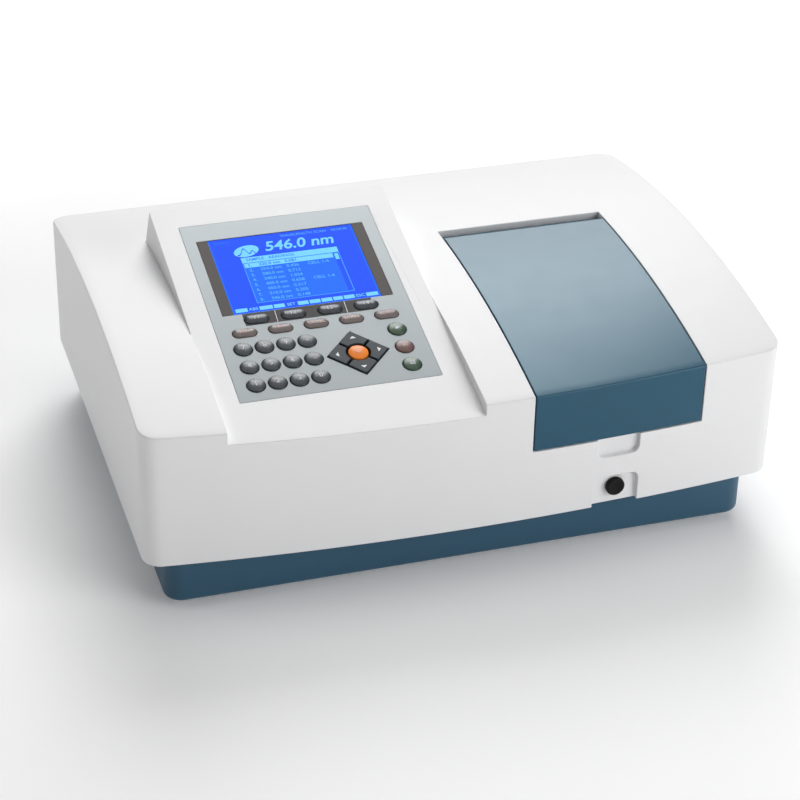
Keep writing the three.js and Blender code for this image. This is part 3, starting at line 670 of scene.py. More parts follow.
def make_cover():
    """The shell with its recesses, openings and the lip behind the lid."""
    ledge, rim, seat_gap = 12, 5, 0.1
    lip_lead, lip_sunk = 4, 0.5
    rod_hole_radius = 3.5
    shell = cover_block("cover_shell", 0, COVER_BOTTOM)
    cut(shell, cover_block("cover_inside", WALL, COVER_BOTTOM + WALL))
    for spot, round_top in ((NOTCH, False), (POCKET, True)):
        backing = front_recess(spot, round_top, WALL, RECESS_DEPTH + WALL)
        join(shell, common(backing, body("inner", WALL / 2, COVER_BOTTOM)))
    top = top_height(OPENING_BACK)
    join(shell, block("lip", OPENING_LEFT - LIP_SIDE, OPENING_RIGHT + LIP_SIDE, LID_BACK - lip_lead,
                      OPENING_BACK + LIP_THICKNESS, top - LIP_DEPTH, top - lip_sunk))
    cut(shell,
        prism("bottom", plan_ring(ledge), "Z", COVER_BOTTOM - 1, COVER_BOTTOM + WALL + 1),
        block("lid_opening", OPENING_LEFT, OPENING_RIGHT, AHEAD, OPENING_BACK, OPENING_BOTTOM, FAR))
    cut(shell,
        front_recess(NOTCH, False, 0, RECESS_DEPTH), front_recess(POCKET, True, 0, RECESS_DEPTH),
        block("seat", -seat_gap, PANEL_WIDTH + seat_gap, -PANEL_LENGTH - seat_gap, seat_gap,
              -PANEL_THICKNESS - seat_gap, 5, PANEL_PLACE),
        block("panel_hole", rim, PANEL_WIDTH - rim, -PANEL_LENGTH + rim, -rim, -15, 5, PANEL_PLACE),
        block("rear_hole", *REAR_HOLE[:2], BACK - 10, BACK + 10, *REAR_HOLE[2:]),
        cylinder("rod_hole", rod_hole_radius, 40, Y_AXIS, (ROD.x, FRONT - 30, ROD.z)))
    show(paint(soften(shell, 0.7), "cover"), "housing", "cover", "upper_cover")


def make_base():
    """An open tray with a rounded lower edge."""
    radius, low_edge = 15, 4.5
    x1, y0, y1, top = BASE_HIGH.x, BASE_LOW.y, BASE_HIGH.y, BASE_HIGH.z

    def outline(inset):
        return rounded_rectangle(-x1 + inset, x1 - inset, y0 + inset, y1 - inset, radius - inset, 10)

    rings = []
    for angle in spread(0, math.pi / 2, 7):
        z = BASE + low_edge * (1 - math.cos(angle))
        rings.append(at(z, outline(low_edge * (1 - math.sin(angle)))))
    rings.append(at(top, outline(0)))
    tray = loft("base_shell", rings)
    cut(tray, prism("hollow", outline(WALL), "Z", BASE + WALL, top + 1))
    show(paint(soften(tray, 0.6), "base"), "housing", "base", "base_tray")


def make_feet():
    """Rubber feet with a hollow under the middle and a rounded lower edge."""
    for node in [n for n in frame["nodes"] if n.startswith("foot_")]:
        low, high = node_box(node)
        radius = (high.x - low.x) / 2
        height = high.z - low.z
        profile = [(4, 1.2), (5, 0), (radius - 3.5, 0), (radius - 1.8, 0.4), (radius - 0.9, 1.5),
                   (radius - 0.6, 3), (radius, height - 1.2), (radius, height)]
        centre = ((low.x + high.x) / 2, (low.y + high.y) / 2, low.z)
        foot = turned(node.replace("foot", "rubber_foot"), profile, Z_AXIS, centre)
        show(paint(shade(foot), "rubber"), "housing", "foot_rubber", node)


# ---- lid

def make_lid():
    """The lid's shell, stepped down behind to a flange with two knuckles on the hinge pin."""
    step_down = 5
    flange_thickness = 2.2
    knuckle_length, knuckle_radius, knuckle_inset = 24, 4.4, 4
    bore_radius = 2.4
    x0 = OPENING_LEFT + LID_GAP
    x1 = OPENING_RIGHT - LID_GAP
    bottom = OPENING_BOTTOM + LID_GAP
    lid = common(body("lid_shell", 0, bottom), block("limits", x0, x1, AHEAD, LID_BACK, bottom, FAR))
    inside = common(body("inside", WALL, BASE),
                    block("limits", x0 + WALL, x1 - WALL, AHEAD, BACK, BASE, FAR))
    cut(lid, inside, body("under", LID_EDGE_DEPTH, BASE))
    top = top_height(LID_BACK)
    flange_top = top - step_down
    flange_bottom = flange_top - flange_thickness
    pin = (PIN_CENTRE.y, PIN_CENTRE.z)
    knuckles = [cylinder("knuckle", knuckle_radius, knuckle_length, X_AXIS, (x, *pin))
                for x in (x0 + knuckle_inset, x1 - knuckle_inset - knuckle_length)]
    join(lid, block("riser", x0, x1, LID_BACK - WALL, LID_BACK, flange_bottom, top - 1.5),
         block("flange", x0, x1, LID_BACK - WALL, PIN_CENTRE.y + 3.4, flange_bottom, flange_top),
         *knuckles)
    cut(lid, cylinder("bore", bore_radius, 400, X_AXIS, (-100, *pin)))
    show(paint(soften(lid, 0.8), "lid"), BODY_OF["compartment_lid"], "lid", "compartment_lid")


# ---- keypad

NORMAL = PANEL_PLACE.to_3x3() @ Vector(Z_AXIS)
SCREEN = (10.1, 153.7, 20.8, 116.2)  # left, right, top and bottom on the panel
LCD = (19.5, 144, 21.1, 115.9)
KEY_TOP = 1.6
KEY_DEPTH = 4
KEY_CLEARANCE = 0.5
THROUGH = (-3, 1)  # heights of a cut through the panel
ENTER_RING = 9.7
DIAMOND_HALF = 18

# Each family of keys: its end radius and look, and the characters on its keys with their size and look.
KEYS = {
    "soft": (5.1, "dark_key", ("F1", "F2", "F3", "F4"), 5.2, "legend"),
    "mode": (4.85, "mode_key", ("ABS", "%T", "CONC", "SCAN", "ZERO"), 5.0, "warm_legend"),
    "number": (7.4, "dark_key", "789-456.1230", 6.6, "legend"),
    "start": (7.5, "green_key"), "return": (7.5, "brown_key"), "print": (7.5, "green_key"),
    "enter": (8.2, "orange_key"),
}

ARROWS = ("up_key", "left_key", "down_key", "right_key")


def panel_spot(node):
    """A key's centre on the panel's face, as (u, v) from the panel's upper left corner."""
    middle = node_centre(node) + NORMAL * (KEY_DEPTH - KEY_TOP) / 2
    local = PANEL_PLACE.inverted() @ middle
    return local.x, -local.y


def key_nodes():
    return [n for n in frame["nodes"] if n.split("_")[0] in KEYS and "_key" in n]


def key_shape(node):
    """A key's straight length and end radius."""
    radius = KEYS[node.split("_")[0]][0]
    low, high = node_box(node)
    return max(0, high.x - low.x - 2 * radius), radius


def glyphs(text, size, centre, lift, look, slant=0.0, narrow=1.0, bold=0.0):
    """Flat printed characters on the panel, as an (object, look) pair."""
    curve = bpy.data.curves.new("text", "FONT")
    curve.body = text
    curve.size = size
    curve.shear = slant
    curve.offset = bold
    curve.align_x = "CENTER"
    curve.align_y = "CENTER"
    curve.resolution_u = 3
    source = linked("text", curve)
    bpy.context.view_layer.update()
    graph = bpy.context.evaluated_depsgraph_get()
    mesh = bpy.data.meshes.new_from_object(source.evaluated_get(graph))
    bpy.data.objects.remove(source)
    points = [(v.co.x * narrow + centre[0], v.co.y - centre[1], lift) for v in mesh.vertices]
    faces = [tuple(p.vertices) for p in mesh.polygons]
    return new_object("print", points, faces, PANEL_PLACE), look


def sheet_of(outline, lift, look, place=PANEL_PLACE):
    """A flat printed shape on the panel, from (u, v) points."""
    points = [(u, -v, lift) for u, v in outline]
    return new_object("print", points, [tuple(range(len(points)))], place), look


def oblong(u0, u1, v0, v1):
    return [(u0, v1), (u1, v1), (u1, v0), (u0, v0)]


def bar(u0, u1, v0, v1, lift, look):
    return sheet_of(oblong(u0, u1, v0, v1), lift, look)


# What is printed on the keys that carry no character: outlines about the key's centre, their look and layer.
ICONS = {
    "start": [([(-1.6, 2.2), (2.4, 0), (-1.6, -2.2)], "legend", 0)],
    "return": [(oblong(-2.6, 2.2, -0.4, 0.4), "warm_legend", 0),
               ([(-3, 0), (-0.6, 1.9), (-0.6, -1.9)], "warm_legend", 0)],
    "print": [(oblong(-2.2, 2.2, v - 0.35, v + 0.35), "legend", 0) for v in (-1.6, 0, 1.6)],
    "enter": [(circle(2.6), "warm_legend", 0), (circle(2.0), "orange_key", 0.03)],
}


def make_key(node):
    """A domed cap on a straight skirt, with its printed legend."""
    family = node.split("_")[0]
    straight, radius = key_shape(node)
    u, v = panel_spot(node)
    radius -= 0.05
    shoulder, shoulder_start = 0.8, 0.3
    turn = 0.8 * math.pi / 2
    dome = 1.5 if family == "enter" else 1.1
    levels = [(radius, -KEY_DEPTH)]
    levels += [(radius - shoulder * (1 - math.cos(a)), shoulder_start + shoulder * math.sin(a))
               for a in spread(0, turn, 5)]
    rim_radius, rim = levels[-1]
    levels += [(rim_radius * share, rim + dome * (1 - share ** 2))
               for share in (0.93, 0.85, 0.7, 0.55, 0.4, 0.25, 0.1)]
    rings = [at(height, pill(u, -v, straight, reach)) for reach, height in levels]
    _, cap_look, *legend = KEYS[family]
    parts = [(shade(loft(node + "_cap", rings, PANEL_PLACE), 50), cap_look)]
    print_lift = 0.04
    crown = rim + dome + print_lift
    if legend:
        texts, size, look = legend
        text = texts[int(node.rsplit("_", 1)[1]) - 1]
        parts.append(glyphs(text, size, (u, v - 0.1), crown, look))
    else:
        parts += [sheet_of(shifted(icon, u, v), crown + layer, look) for icon, look, layer in ICONS[family]]
    show(merged(node + "_cap", parts), BODY_OF[node], cap_look, node)


def make_arrow(node, quarter):
    """One corner of the diamond, hollowed round the centre key, with a printed arrow head."""
    split, corner, face = 0.7, 2.4, 1.2
    reach = math.sqrt(ENTER_RING ** 2 - split ** 2)
    angle = math.asin(split / ENTER_RING) / (math.pi / 2)
    rounded = arc(DIAMOND_HALF - corner, DIAMOND_HALF - corner, corner, 0, 1, 6)
    outline = ([(reach, split), (DIAMOND_HALF, split)] + rounded + [(split, DIAMOND_HALF), (split, reach)]
               + arc(0, 0, ENTER_RING, 1 - angle, angle, 16)[1:-1])
    u, v = panel_spot("enter_key")
    place = (PANEL_PLACE @ Matrix.Translation((u, -v, 0))
             @ Matrix.Rotation(math.pi / 4 + quarter * math.pi / 2, 4, "Z"))
    cap = soften(prism(node + "_cap", outline, "Z", -KEY_DEPTH, face, place), 0.9, 4)
    tip = DIAMOND_HALF * 0.74
    side = DIAMOND_HALF * 0.53
    mark = sheet_of([(tip, -tip), (side, -tip), (tip, -side)], face + 0.03, "divider", place)
    show(merged(node + "_cap", [(cap, "arrow_key"), mark]), BODY_OF[node], "dark_key", node)


def key_hole(node, z0, z1):
    straight, radius = key_shape(node)
    u, v = panel_spot(node)
    return prism("hole", pill(u, -v, straight, radius + KEY_CLEARANCE), "Z", z0, z1, PANEL_PLACE)


def panel_block(name, left, right, top, bottom, z0, z1):
    """A block on the panel, with its sides measured as on the panel."""
    return block(name, left, right, -bottom, -top, z0, z1, PANEL_PLACE)


def make_panel():
    """The sheet with its holes, and the dark band and white lines printed on it."""
    plate = prism("panel_sheet", rounded_rectangle(0, PANEL_WIDTH, -PANEL_LENGTH, 0, 0.8, 3), "Z",
                  -PANEL_THICKNESS, 0, PANEL_PLACE)
    u, v = panel_spot("enter_key")
    reach = (DIAMOND_HALF + KEY_CLEARANCE) * math.sqrt(2)
    diamond = [(u + reach, -v), (u, -v + reach), (u - reach, -v), (u, -v - reach)]
    cut(plate, prism("diamond", diamond, "Z", *THROUGH, PANEL_PLACE),
        panel_block("screen", *SCREEN, *THROUGH),
        *[key_hole(n, *THROUGH) for n in key_nodes() if n != "enter_key"])
    show(paint(soften(plate, 0.25, 2), "panel"), "housing", "panel", "keypad_panel")
    top, bottom = SCREEN[3] + 0.4, 131
    band = panel_block("soft_key_band", 26, 134, top, bottom, 0.01, 0.09)
    cut(band, *[key_hole(n, -1, 1) for n in key_nodes() if n.startswith("soft")])
    show(paint(band, "print"), "housing", "screen_glass")
    lines = [sheet_of([(u - 0.6, bottom), (u - 0.1, bottom), (u + 0.6, top), (u + 0.1, top)], 0.12, "divider")
             for u in (52.7, 111)]
    show(merged("soft_key_dividers", lines), "housing", "screen_glass")


PICTURE_DEPTH = -0.55
PRINT_STEP = 0.02


def make_screen():
    """The dark frame round the display, the module behind it and the picture on it."""
    gap, fit = 0.3, 0.05
    u0, u1, v0, v1 = SCREEN
    left, right, top, bottom = LCD
    bezel = panel_block("screen_bezel", u0 + gap, u1 - gap, v0 + gap, v1 - gap, -PANEL_THICKNESS, -0.1)
    cut(bezel, panel_block("view", *LCD, *THROUGH))
    show(paint(soften(bezel, 0.1, 2), "bezel"), "housing", "screen_glass", "screen_window")
    glass = panel_block("display_body", left - 3, right + 3, top - 1, bottom + 1, -8, -1.5)
    join(glass, panel_block("front", left + fit, right - fit, top + fit, bottom - fit, -2,
                            PICTURE_DEPTH - PRINT_STEP))
    show(paint(soften(glass, 0.1), "black"), "housing", "display", "display_module")
    show(merged("display_picture", picture_parts()), "housing", "display")


# The picture, in millimetres on the panel like the screen.
LIST = (41.7, 124.2, 47.6, 105)
READINGS = {220: 0.081, 254: 0.436, 280: 0.712, 340: 1.024, 405: 0.658, 450: 0.317, 510: 0.205, 546: 0.148}
# The row under the list: where each label starts and ends, and its text, or none for a plain bar.
LABELS = ((22, 32, ""), (33, 41, "ABS"), (42, 53, ""), (54, 63, ""), (64, 73, "SET"), (74, 83, ""),
          (84, 93, ""), (94, 103, ""), (104, 112, ""), (113, 122, ""), (123, 131, "ESC"), (132, 142, ""))


def spectrum_mark(centre, lift):
    """An oval badge with an absorbance curve across it."""
    u, v = centre
    half_width, half_height, lean = 10.6, 7.2, 0.35
    oval = [(u + half_width * x - lean * half_height * y, v + half_height * y) for x, y in circle(1, 64)]

    def peak(t, place, height, width):
        return height * math.exp(-((t - place) / width) ** 2)

    trace = [(u + 17 * t, v + 4 - peak(t, -0.12, 8, 0.16) - peak(t, 0.28, 4.5, 0.1))
             for t in spread(-0.5, 0.5, 48)]
    band = trace + [(a, b + 1.5) for a, b in reversed(trace)]
    return [sheet_of(oval, lift, "screen_light"), sheet_of(band, lift + PRINT_STEP, "screen_blue")]


def picture_parts():
    """A generic measuring screen: a spectrum mark, a wavelength, a list of readings and key labels."""
    dark, field, mid, light = "screen_blue", "screen_field", "screen_mid", "screen_light"
    left, right, top, bottom = LCD
    u0, u1, v0, v1 = LIST
    layers = [PICTURE_DEPTH + PRINT_STEP * i for i in range(5)]
    parts = []

    def fill(start, stop, high, low, layer, look):
        parts.append(bar(start, stop, high, low, layers[layer], look))

    def write(text, size, u, v, layer, look, **style):
        parts.append(glyphs(text, size, (u, v), layers[layer], look, **style))

    glow, small, line_height = 1.3, 4.8, 6.2
    fill(left + 0.1, right - 0.1, top + 0.1, bottom - 0.1, 0, field)
    parts.append(bar(left + glow, right - glow, top + 0.2, bottom - glow, PICTURE_DEPTH + 0.01, dark))
    write("READY", 4.2, 31, 26, 1, field, bold=0.05)
    write("WAVELENGTH SCAN   10:24:36", 4.2, 110, 25.6, 1, mid, bold=0.02)
    parts += spectrum_mark((48.6, 39.4), layers[1])
    write("546.0 nm", 16.5, 94, 37.2, 1, light, slant=0.22, narrow=0.96, bold=0.35)
    fill(u0, u1, v0, v1, 1, mid)
    fill(u0 + 0.5, u1 - 0.5, v0 + 7, v1 - 0.5, 2, field)
    fill(u0, u1, v0, v0 + 6.6, 2, light)
    fill(u0 + 1, u1 - 6, v0 + 7.6, v0 + 13, 3, light)
    write("SAMPLE   READINGS", 4.6, 66, v0 + 3.2, 3, field, bold=0.05)
    for row, (wavelength, absorbance) in enumerate(READINGS.items()):
        v = v0 + 10.3 + line_height * row
        look = field if row == 0 else mid
        write(f"{row + 1}.", small, 47, v, 4, look, bold=0.1)
        write(f"{wavelength:.1f} nm   {absorbance:.3f}", small, 71, v, 4, look, bold=0.1)
        if row in (1, 4):
            write("CELL 1-4", small, 104, v, 4, mid, bold=0.1)
    fill(u1 - 5, u1 - 1, v0 + 8, v1 - 1.4, 3, dark)
    fill(u1 - 4.6, u1 - 1.4, v0 + 8.4, v0 + 16, 4, light)
    for start, stop, label in LABELS:
        if label:
            write(label, 4.6, (start + stop) / 2, 111.4, 1, light, bold=0.05)
        else:
            fill(start, stop, 109.2, 113.6, 1, light)
    return parts


# ---- knob, rod and hinge pin

def make_controls():
    """The knob with its dished face, and the two steel bars with their chamfered ends."""
    low, high = node_box("pull_knob")
    radius = (high.x - low.x) / 2
    depth = high.y - low.y
    centre = ((low.x + high.x) / 2, high.y, (low.z + high.z) / 2)
    profile = [(radius - 0.4, 0), (radius, 0.4), (radius, depth - 1.1), (radius - 0.25, depth - 0.5),
               (radius - 0.9, depth), (radius - 2, depth + 0.05), (radius - 2.6, depth - 0.25),
               (radius - 5, depth - 0.45), (0.3, depth - 0.5)]
    knob = turned("changer_knob", profile, (0, -1, 0), centre)
    show(paint(shade(knob), "knob"), BODY_OF["pull_knob"], "knob", "pull_knob")
    chamfer = 0.4
    for node, direction, size in (("pull_rod", Y_AXIS, "y"), ("lid_hinge_pin", X_AXIS, "x")):
        low, high = node_box(node)
        length = getattr(high, size) - getattr(low, size)
        radius = (high.z - low.z) / 2
        start = (low + high) / 2 - Vector(direction) * length / 2
        profile = [(radius - chamfer, 0), (radius, chamfer), (radius, length - chamfer),
                   (radius - chamfer, length)]
        piece = turned(node + "_bar", profile, direction, start)
        show(paint(shade(piece, 30), "steel"), BODY_OF[node], "steel", node)


# ---- rear panel and what it carries

FAN_CENTRE = node_centre("fan_frame")
INLET_LOW, INLET_HIGH = node_box("power_inlet")
SERIAL_CENTRE = node_centre("serial_port")
PLATE_LOW, PLATE_HIGH = node_box("rear_panel")
FAN_SCREW = 25
SOCKET_Z = BASE + 78


def fan_corners():
    return [(FAN_CENTRE.x + i * FAN_SCREW, FAN_CENTRE.z + k * FAN_SCREW) for i in (-1, 1) for k in (-1, 1)]


def screw_heads(name, spots, radius):
    """Cross-head screws on the rear panel, at (x, z) spots."""
    y = PLATE_HIGH.y
    slit_floor = y + 0.7
    parts = []
    for x, z in spots:
        profile = [(radius, -0.2), (radius, 0.5), (radius * 0.86, 1.0), (radius * 0.55, 1.35),
                   (radius * 0.2, 1.45)]
        head = turned("head", profile, Y_AXIS, (x, y, z), 28)
        arm, slit = radius * 0.55, radius * 0.13
        cross = join(beam("slot", x, z, arm, slit, slit_floor, y + 3),
                     beam("slot", x, z, slit, arm, slit_floor, y + 3))
        parts.append((shade(cut(head, cross), 35), "steel"))
    show(merged(name, parts), "housing", "steel")


def make_rear_panel():
    """The plate with its openings, the fan's grille, the cooling slots and the screws."""
    y0, y1 = PLATE_LOW.y, PLATE_HIGH.y
    through = (y0 - 5, y1 + 5)
    side_margin, end_margin = 2.2, 2
    slot_radius, grille_radius, grille_pitch = 2.2, 25.5, 7
    vent_count, vent_length, vent_pitch, vent_left = 9, 40, 10, -80
    plate = soften(rounded_plate("rear_plate", PLATE_LOW, PLATE_HIGH, 4, y0, y1), 0.3, 2)
    cuts = [block("inlet", INLET_LOW.x + side_margin, INLET_HIGH.x - side_margin, *through,
                  INLET_LOW.z + end_margin, INLET_HIGH.z - end_margin),
            beam("serial", SERIAL_CENTRE.x, SERIAL_CENTRE.z, 9, 5, *through)]
    for i in range(-3, 4):
        half = math.sqrt(grille_radius ** 2 - (grille_pitch * i) ** 2)
        slot = pill(FAN_CENTRE.x, FAN_CENTRE.z + grille_pitch * i, 2 * (half - slot_radius), slot_radius, 8)
        cuts.append(prism("grille", slot, "Y", *through))
    vent = upright(pill(0, 0, vent_length - 2 * slot_radius, slot_radius, 8))
    for i in range(vent_count):
        cuts.append(prism("vent", shifted(vent, vent_left + vent_pitch * i, BASE + 92), "Y", *through))
    cut(plate, *cuts)
    show(paint(shade(plate, 15), "rear"), "housing", "rear_panel", "rear_panel")
    screw_heads("fan_screws", fan_corners(), 2.8)
    screw_heads("rear_panel_screws", [(x, BASE + z) for x in (-214, 0, 214) for z in (62, 123)], 3.0)


def make_fan():
    """The square fan housing with its bore, screw holes, hub and arms, and the rotor in it."""
    low, high = node_box("fan_frame")
    cx, cz = FAN_CENTRE.x, FAN_CENTRE.z
    back = low.y + 2.5
    arm_length, arm_half = 29, 1.8
    bore = [(28.4, 0), (27.5, 4), (27.5, 17), (28.4, 21)]
    housing = rounded_plate("fan_housing", low, high, 4, low.y, high.y)
    cut(housing, turned("bore", bore, Y_AXIS, (cx, low.y - 0.5, cz), 96),
        *[cylinder("hole", 2.1, 30, Y_AXIS, (x, low.y - 5, z), 24) for x, z in fan_corners()])
    join(housing, turned("hub", [(10.2, 0), (11, 0.6), (11, 3)], Y_AXIS, (cx, low.y, cz)),
         beam("arm", cx, cz, arm_length, arm_half, low.y, back),
         beam("arm", cx, cz, arm_half, arm_length, low.y + 0.01, back))
    show(paint(soften(housing, 0.5, 2), "black"), "housing", "black_plastic", "fan_frame")
    blades = 7
    rotor_low, rotor_high = node_box("fan_rotor")
    y0, y1 = rotor_low.y, rotor_high.y
    profile = [(9.6, 0), (10.5, 0.9), (10.5, y1 - y0 - 1.6), (9.9, y1 - y0 - 0.5), (8.8, y1 - y0)]
    pieces = [turned("rotor_hub", profile, Y_AXIS, (cx, y0, cz))]
    pieces += [fan_blade((y0 + y1) / 2, i * 2 * math.pi / blades) for i in range(blades)]
    show(merged("fan_impeller", [(shade(piece), "black") for piece in pieces]), BODY_OF["fan_rotor"],
         "black_plastic", "fan_rotor")


def fan_blade(middle_y, turn):
    """A twisted, cambered blade that starts inside the hub and ends near the bore."""
    root, tip = 9.8, 26
    rings = []
    for r in spread(root, tip, 8):
        pitch = math.radians(46 - (r - root) * 0.9)
        chord = 13 + (r - root) * 0.12
        upper, lower = [], []
        for s in spread(-0.5, 0.5, 8):
            fullness = 1 - 4 * s * s
            camber = 1.6 * fullness
            thick = 0.25 + 0.55 * fullness
            upper.append((s * chord, camber + thick))
            lower.append((s * chord, camber - thick))
        rings.append([(r, along * math.sin(pitch) + off * math.cos(pitch),
                       along * math.cos(pitch) - off * math.sin(pitch))
                      for along, off in upper + lower[::-1]])
    place = Matrix.Translation((FAN_CENTRE.x, middle_y, FAN_CENTRE.z)) @ Matrix.Rotation(turn, 4, "Y")
    return loft("blade", rings, place)


def make_inlet():
    """The mains inlet: a flange with a socket of two cut corners, three pins and the well of the rocker."""
    face = INLET_HIGH.y
    x = (INLET_LOW.x + INLET_HIGH.x) / 2
    barrel_half, barrel_depth, barrel_inset = 14, 28, 2.3
    socket_half, socket_height, slope, socket_depth = 12.3, 9.5, 5, 17
    well_half, well_height, well_depth = 6.7, 11, 14
    flange = soften(rounded_plate("inlet_flange", INLET_LOW, INLET_HIGH, 2, face - 2.4, face), 0.5, 2)
    join(flange, block("barrel", x - barrel_half, x + barrel_half, face - barrel_depth, face - 1,
                       INLET_LOW.z + barrel_inset, INLET_HIGH.z - barrel_inset))
    left, right = x - socket_half, x + socket_half
    low, high = SOCKET_Z - socket_height, SOCKET_Z + socket_height
    socket = [(left, low), (right, low), (right, high - slope), (right - slope, high),
              (left + slope, high), (left, high - slope)]
    rocker_z = node_centre("power_rocker").z
    cut(flange, prism("socket", socket, "Y", face - socket_depth, face + 1),
        beam("well", x, rocker_z, well_half, well_height, face - well_depth, face + 1))
    parts = [(shade(flange, 15), "black")]
    for dx, dz in ((-7, 2), (7, 2), (0, -3)):
        pin = beam("pin", x + dx, SOCKET_Z + dz, 1, 2, face - 18, face - 6)
        parts.append((soften(pin, 0.4, 2), "steel"))
    show(merged("mains_inlet", parts), "housing", "black_plastic", "power_inlet")


def make_serial_port():
    """A nine-hole connector in a metal shell, between two hexagonal jack posts."""
    low, high = node_box("serial_port")
    x, z = SERIAL_CENTRE.x, SERIAL_CENTRE.z
    flange_back = PLATE_HIGH.y + 1.2
    hole_radius, hole_pitch, row_offset = 0.55, 2.76, 1.4

    def d_shape(upper, lower, half_height):
        return [(x - upper, z + half_height), (x + upper, z + half_height),
                (x + lower, z - half_height), (x - lower, z - half_height)]

    inner = d_shape(7.9, 6.7, 3.9)
    shell = rounded_plate("flange", low, high, 2, flange_back - 0.9, flange_back)
    join(shell, prism("shell", d_shape(8.5, 7.2, 4.5), "Y", low.y, high.y))
    cut(shell, prism("inside", inner, "Y", high.y - 6, high.y + 1))
    soften(shell, 0.25, 2)
    insert = prism("insert", inner, "Y", high.y - 5.9, high.y - 0.8)
    cut(insert, *[cylinder("hole", hole_radius, 4, Y_AXIS,
                           (x + hole_pitch * (i - (count - 1) / 2), high.y - 3, z + dz), 12)
                  for count, dz in ((5, row_offset), (4, -row_offset)) for i in range(count)])
    jacks = [turned("jack", [(2.6, 0), (2.6, 3.4), (2.2, 3.9)], Y_AXIS, (x + dx, flange_back, z), 6)
             for dx in (-12.5, 12.5)]
    parts = [(shell, "steel"), (shade(insert), "black"), *[(shade(jack, 30), "steel") for jack in jacks]]
    show(merged("data_port", parts), "housing", "steel", "serial_port")


def make_rocker():
    """A saddle-shaped rocker with its on and off marks, drawn level and turned to its off position."""
    low, high = node_box("power_rocker")
    half, half_width = 10, (high.x - low.x) / 2
    off_angle = math.radians(8)
    place = (Matrix.Translation(((low.x + high.x) / 2, PLATE_HIGH.y - 1.5, BASE + 104))
             @ Matrix.Rotation(off_angle, 4, "X"))
    saddle = [(0.4 + (z / half) ** 2, z) for z in spread(-half + 0.5, half - 0.5, 16)]
    outline = saddle + [(-3, half - 3), (-5, 0), (-3, -half + 3)]
    rocker = soften(prism("rocker", outline, "X", -half_width, half_width, place), 0.35, 2)
    on = block("on", -0.35, 0.35, 0.7, 1.05, 3.6, 6.8, place)
    off_place = place @ Matrix.Translation((0, 0, -5.2)) @ Matrix.Rotation(-math.pi / 2, 4, "X")
    off = cut(prism("off", circle(1.7), "Z", 0.5, 0.95, off_place),
              prism("core", circle(1.1), "Z", 0, 2, off_place))
    parts = [(rocker, "black"), (on, "legend"), (off, "legend")]
    show(merged("power_rocker_cap", parts), BODY_OF["power_rocker"], "black_plastic", "power_rocker")


# ---- CAD nodes that stay

# Each with its look and the width of its rounded edges.
KEPT = {
    "sample_chamber": ("anodised", 0.5), "cell_carriage": ("anodised", 0.5),
    "keypad_board": ("board", 0.2), "lamp_house": ("casting", 0.8), "tungsten_lamp": ("lamp", 0.6),
    "deuterium_lamp": ("lamp", 0.6), "monochromator_housing": ("casting", 1.0),
    "grating_turntable": ("steel", 0.5), "filter_wheel": ("anodised", 0.4),
    "detector_housing": ("casting", 0.8), "main_board": ("board", 0.3), "power_supply": ("steel", 0.5),
}


def dress_kept_nodes():
    for node, (look, width) in KEPT.items():
        bevel(paint(frame["nodes"][node], look), width, 2, 35)


# ---- floor, light and camera

CAMERA_AIM = Vector((-6.7, -19.4, 66.0))
CAMERA_AZIMUTH = math.radians(-17.882)
CAMERA_ELEVATION = math.radians(31.147)
CAMERA_ROLL = math.radians(1.3165)
CAMERA_DISTANCE = 2000.36
CAMERA_LENS = 104.588


def outwards(azimuth, elevation):
    """The direction from the object: azimuth 0 is its front and grows towards its right."""
    return Vector((math.sin(azimuth) * math.cos(elevation), -math.cos(azimuth) * math.cos(elevation),
                   math.sin(elevation)))


def make_camera():
    back = outwards(CAMERA_AZIMUTH, CAMERA_ELEVATION)
    level = Vector((math.cos(CAMERA_AZIMUTH), math.sin(CAMERA_AZIMUTH), 0))
    rise = back.cross(level)
    right = level * math.cos(CAMERA_ROLL) + rise * math.sin(CAMERA_ROLL)
    up = rise * math.cos(CAMERA_ROLL) - level * math.sin(CAMERA_ROLL)
    camera = linked("camera", bpy.data.cameras.new("camera"))
    camera.matrix_world = Matrix.Translation((CAMERA_AIM + back * CAMERA_DISTANCE) * MM) @ Matrix(
        (right, up, back)).transposed().to_4x4()
    camera.data.lens = CAMERA_LENS
    camera.data.sensor_width = 36
    camera.data.clip_start = 0.05
    camera.data.clip_end = 50
    bpy.context.scene.camera = camera


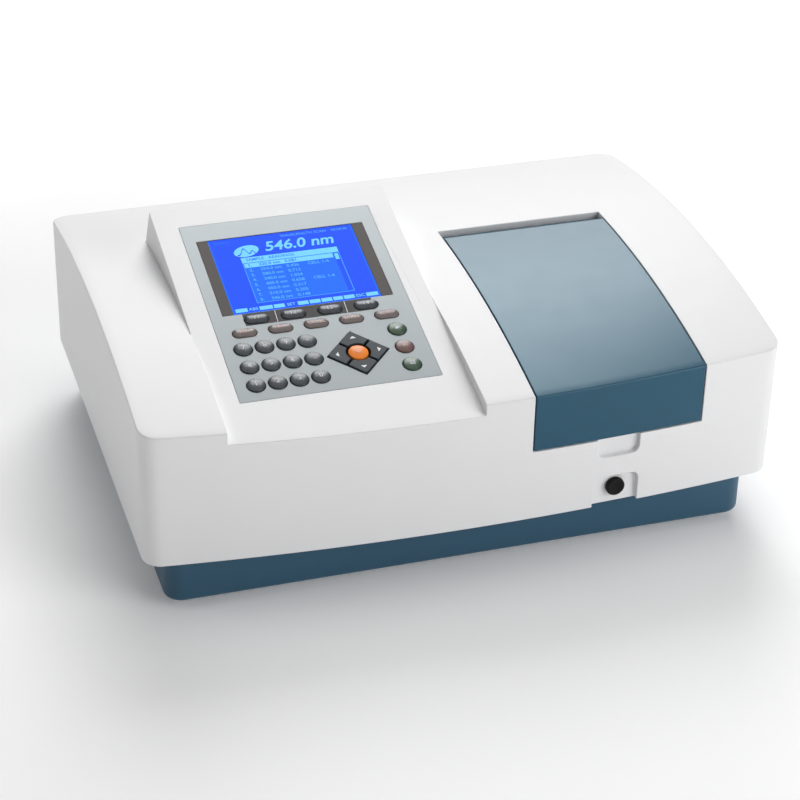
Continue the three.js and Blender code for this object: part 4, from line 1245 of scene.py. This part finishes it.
def softbox(name, azimuth, elevation, distance, width, height, power):
    """An area light that faces the object's middle: angles in degrees, lengths in metres."""
    middle = Vector((0, 0, 0.1))
    out = outwards(math.radians(azimuth), math.radians(elevation))
    lamp = bpy.data.lights.new(name, "AREA")
    lamp.shape = "RECTANGLE"
    lamp.size = width
    lamp.size_y = height
    lamp.energy = power
    box = linked(name, lamp)
    box.rotation_euler = out.to_track_quat("Z", "Y").to_euler()
    box.location = middle + out * distance
    box.visible_camera = False


def floor_paper():
    """Pale paper that glows where the softboxes no longer reach it, by metres from the object."""
    material = varied("floor_paper", (0.93, 0.93, 0.93), 0.9, drift=0.0, relief=1e-7)
    tree, shader = graph_of(material)
    distance = tree.nodes.new("ShaderNodeVectorMath")
    distance.operation = "LENGTH"
    tree.links.new(place_of(tree), distance.inputs[0])
    glow = ranged(tree, distance.outputs["Value"], 0.12, 0.7, start=0.6, stop=2.0)
    plug(tree, shader, Emission_Strength=glow, Emission_Color=(1, 1, 1, 1))
    return material


def pale_wall():
    """A world that looks pale and hardly lights the object."""
    world = bpy.data.worlds.new("studio")
    world.use_nodes = True
    tree = world.node_tree
    seen = add_node(tree, "LightPath").outputs["Is Camera Ray"]
    plug(tree, tree.nodes["Background"], Color=(1, 1, 1, 1), Strength=ranged(tree, seen, 0.05, 0.8, 0, 1))
    return world


def make_studio():
    size = 40000
    floor = new_object("floor", [(-size, -size, 0), (size, -size, 0), (size, size, 0), (-size, size, 0)],
                       [(0, 1, 2, 3)])
    LOOK["floor"] = floor_paper()
    paint(floor, "floor")
    # Azimuth, elevation, distance, width, height and watts.
    softbox("top_box", 0, 88, 3.0, 3.0, 3.0, 23)
    for name, elevation, power in (("low", 24, 28), ("middle", 40, 49), ("high", 56, 44)):
        softbox(f"back_{name}_box", 163, elevation, 4.0, 2.1, 1.1, power)
    softbox("right_box", 38, 22, 2.6, 1.7, 1.3, 32)
    softbox("left_box", -98, 25, 3.6, 2.2, 1.6, 13)
    scene = bpy.context.scene
    scene.world = pale_wall()
    scene.view_settings.view_transform = "Standard"


make_camera()
make_studio()
make_cover()
make_base()
make_feet()
make_lid()
make_panel()
make_screen()
for key in key_nodes():
    make_key(key)
for turn, arrow in enumerate(ARROWS):
    make_arrow(arrow, turn)
make_controls()
make_rear_panel()
make_fan()
make_inlet()
make_serial_port()
make_rocker()
dress_kept_nodes()
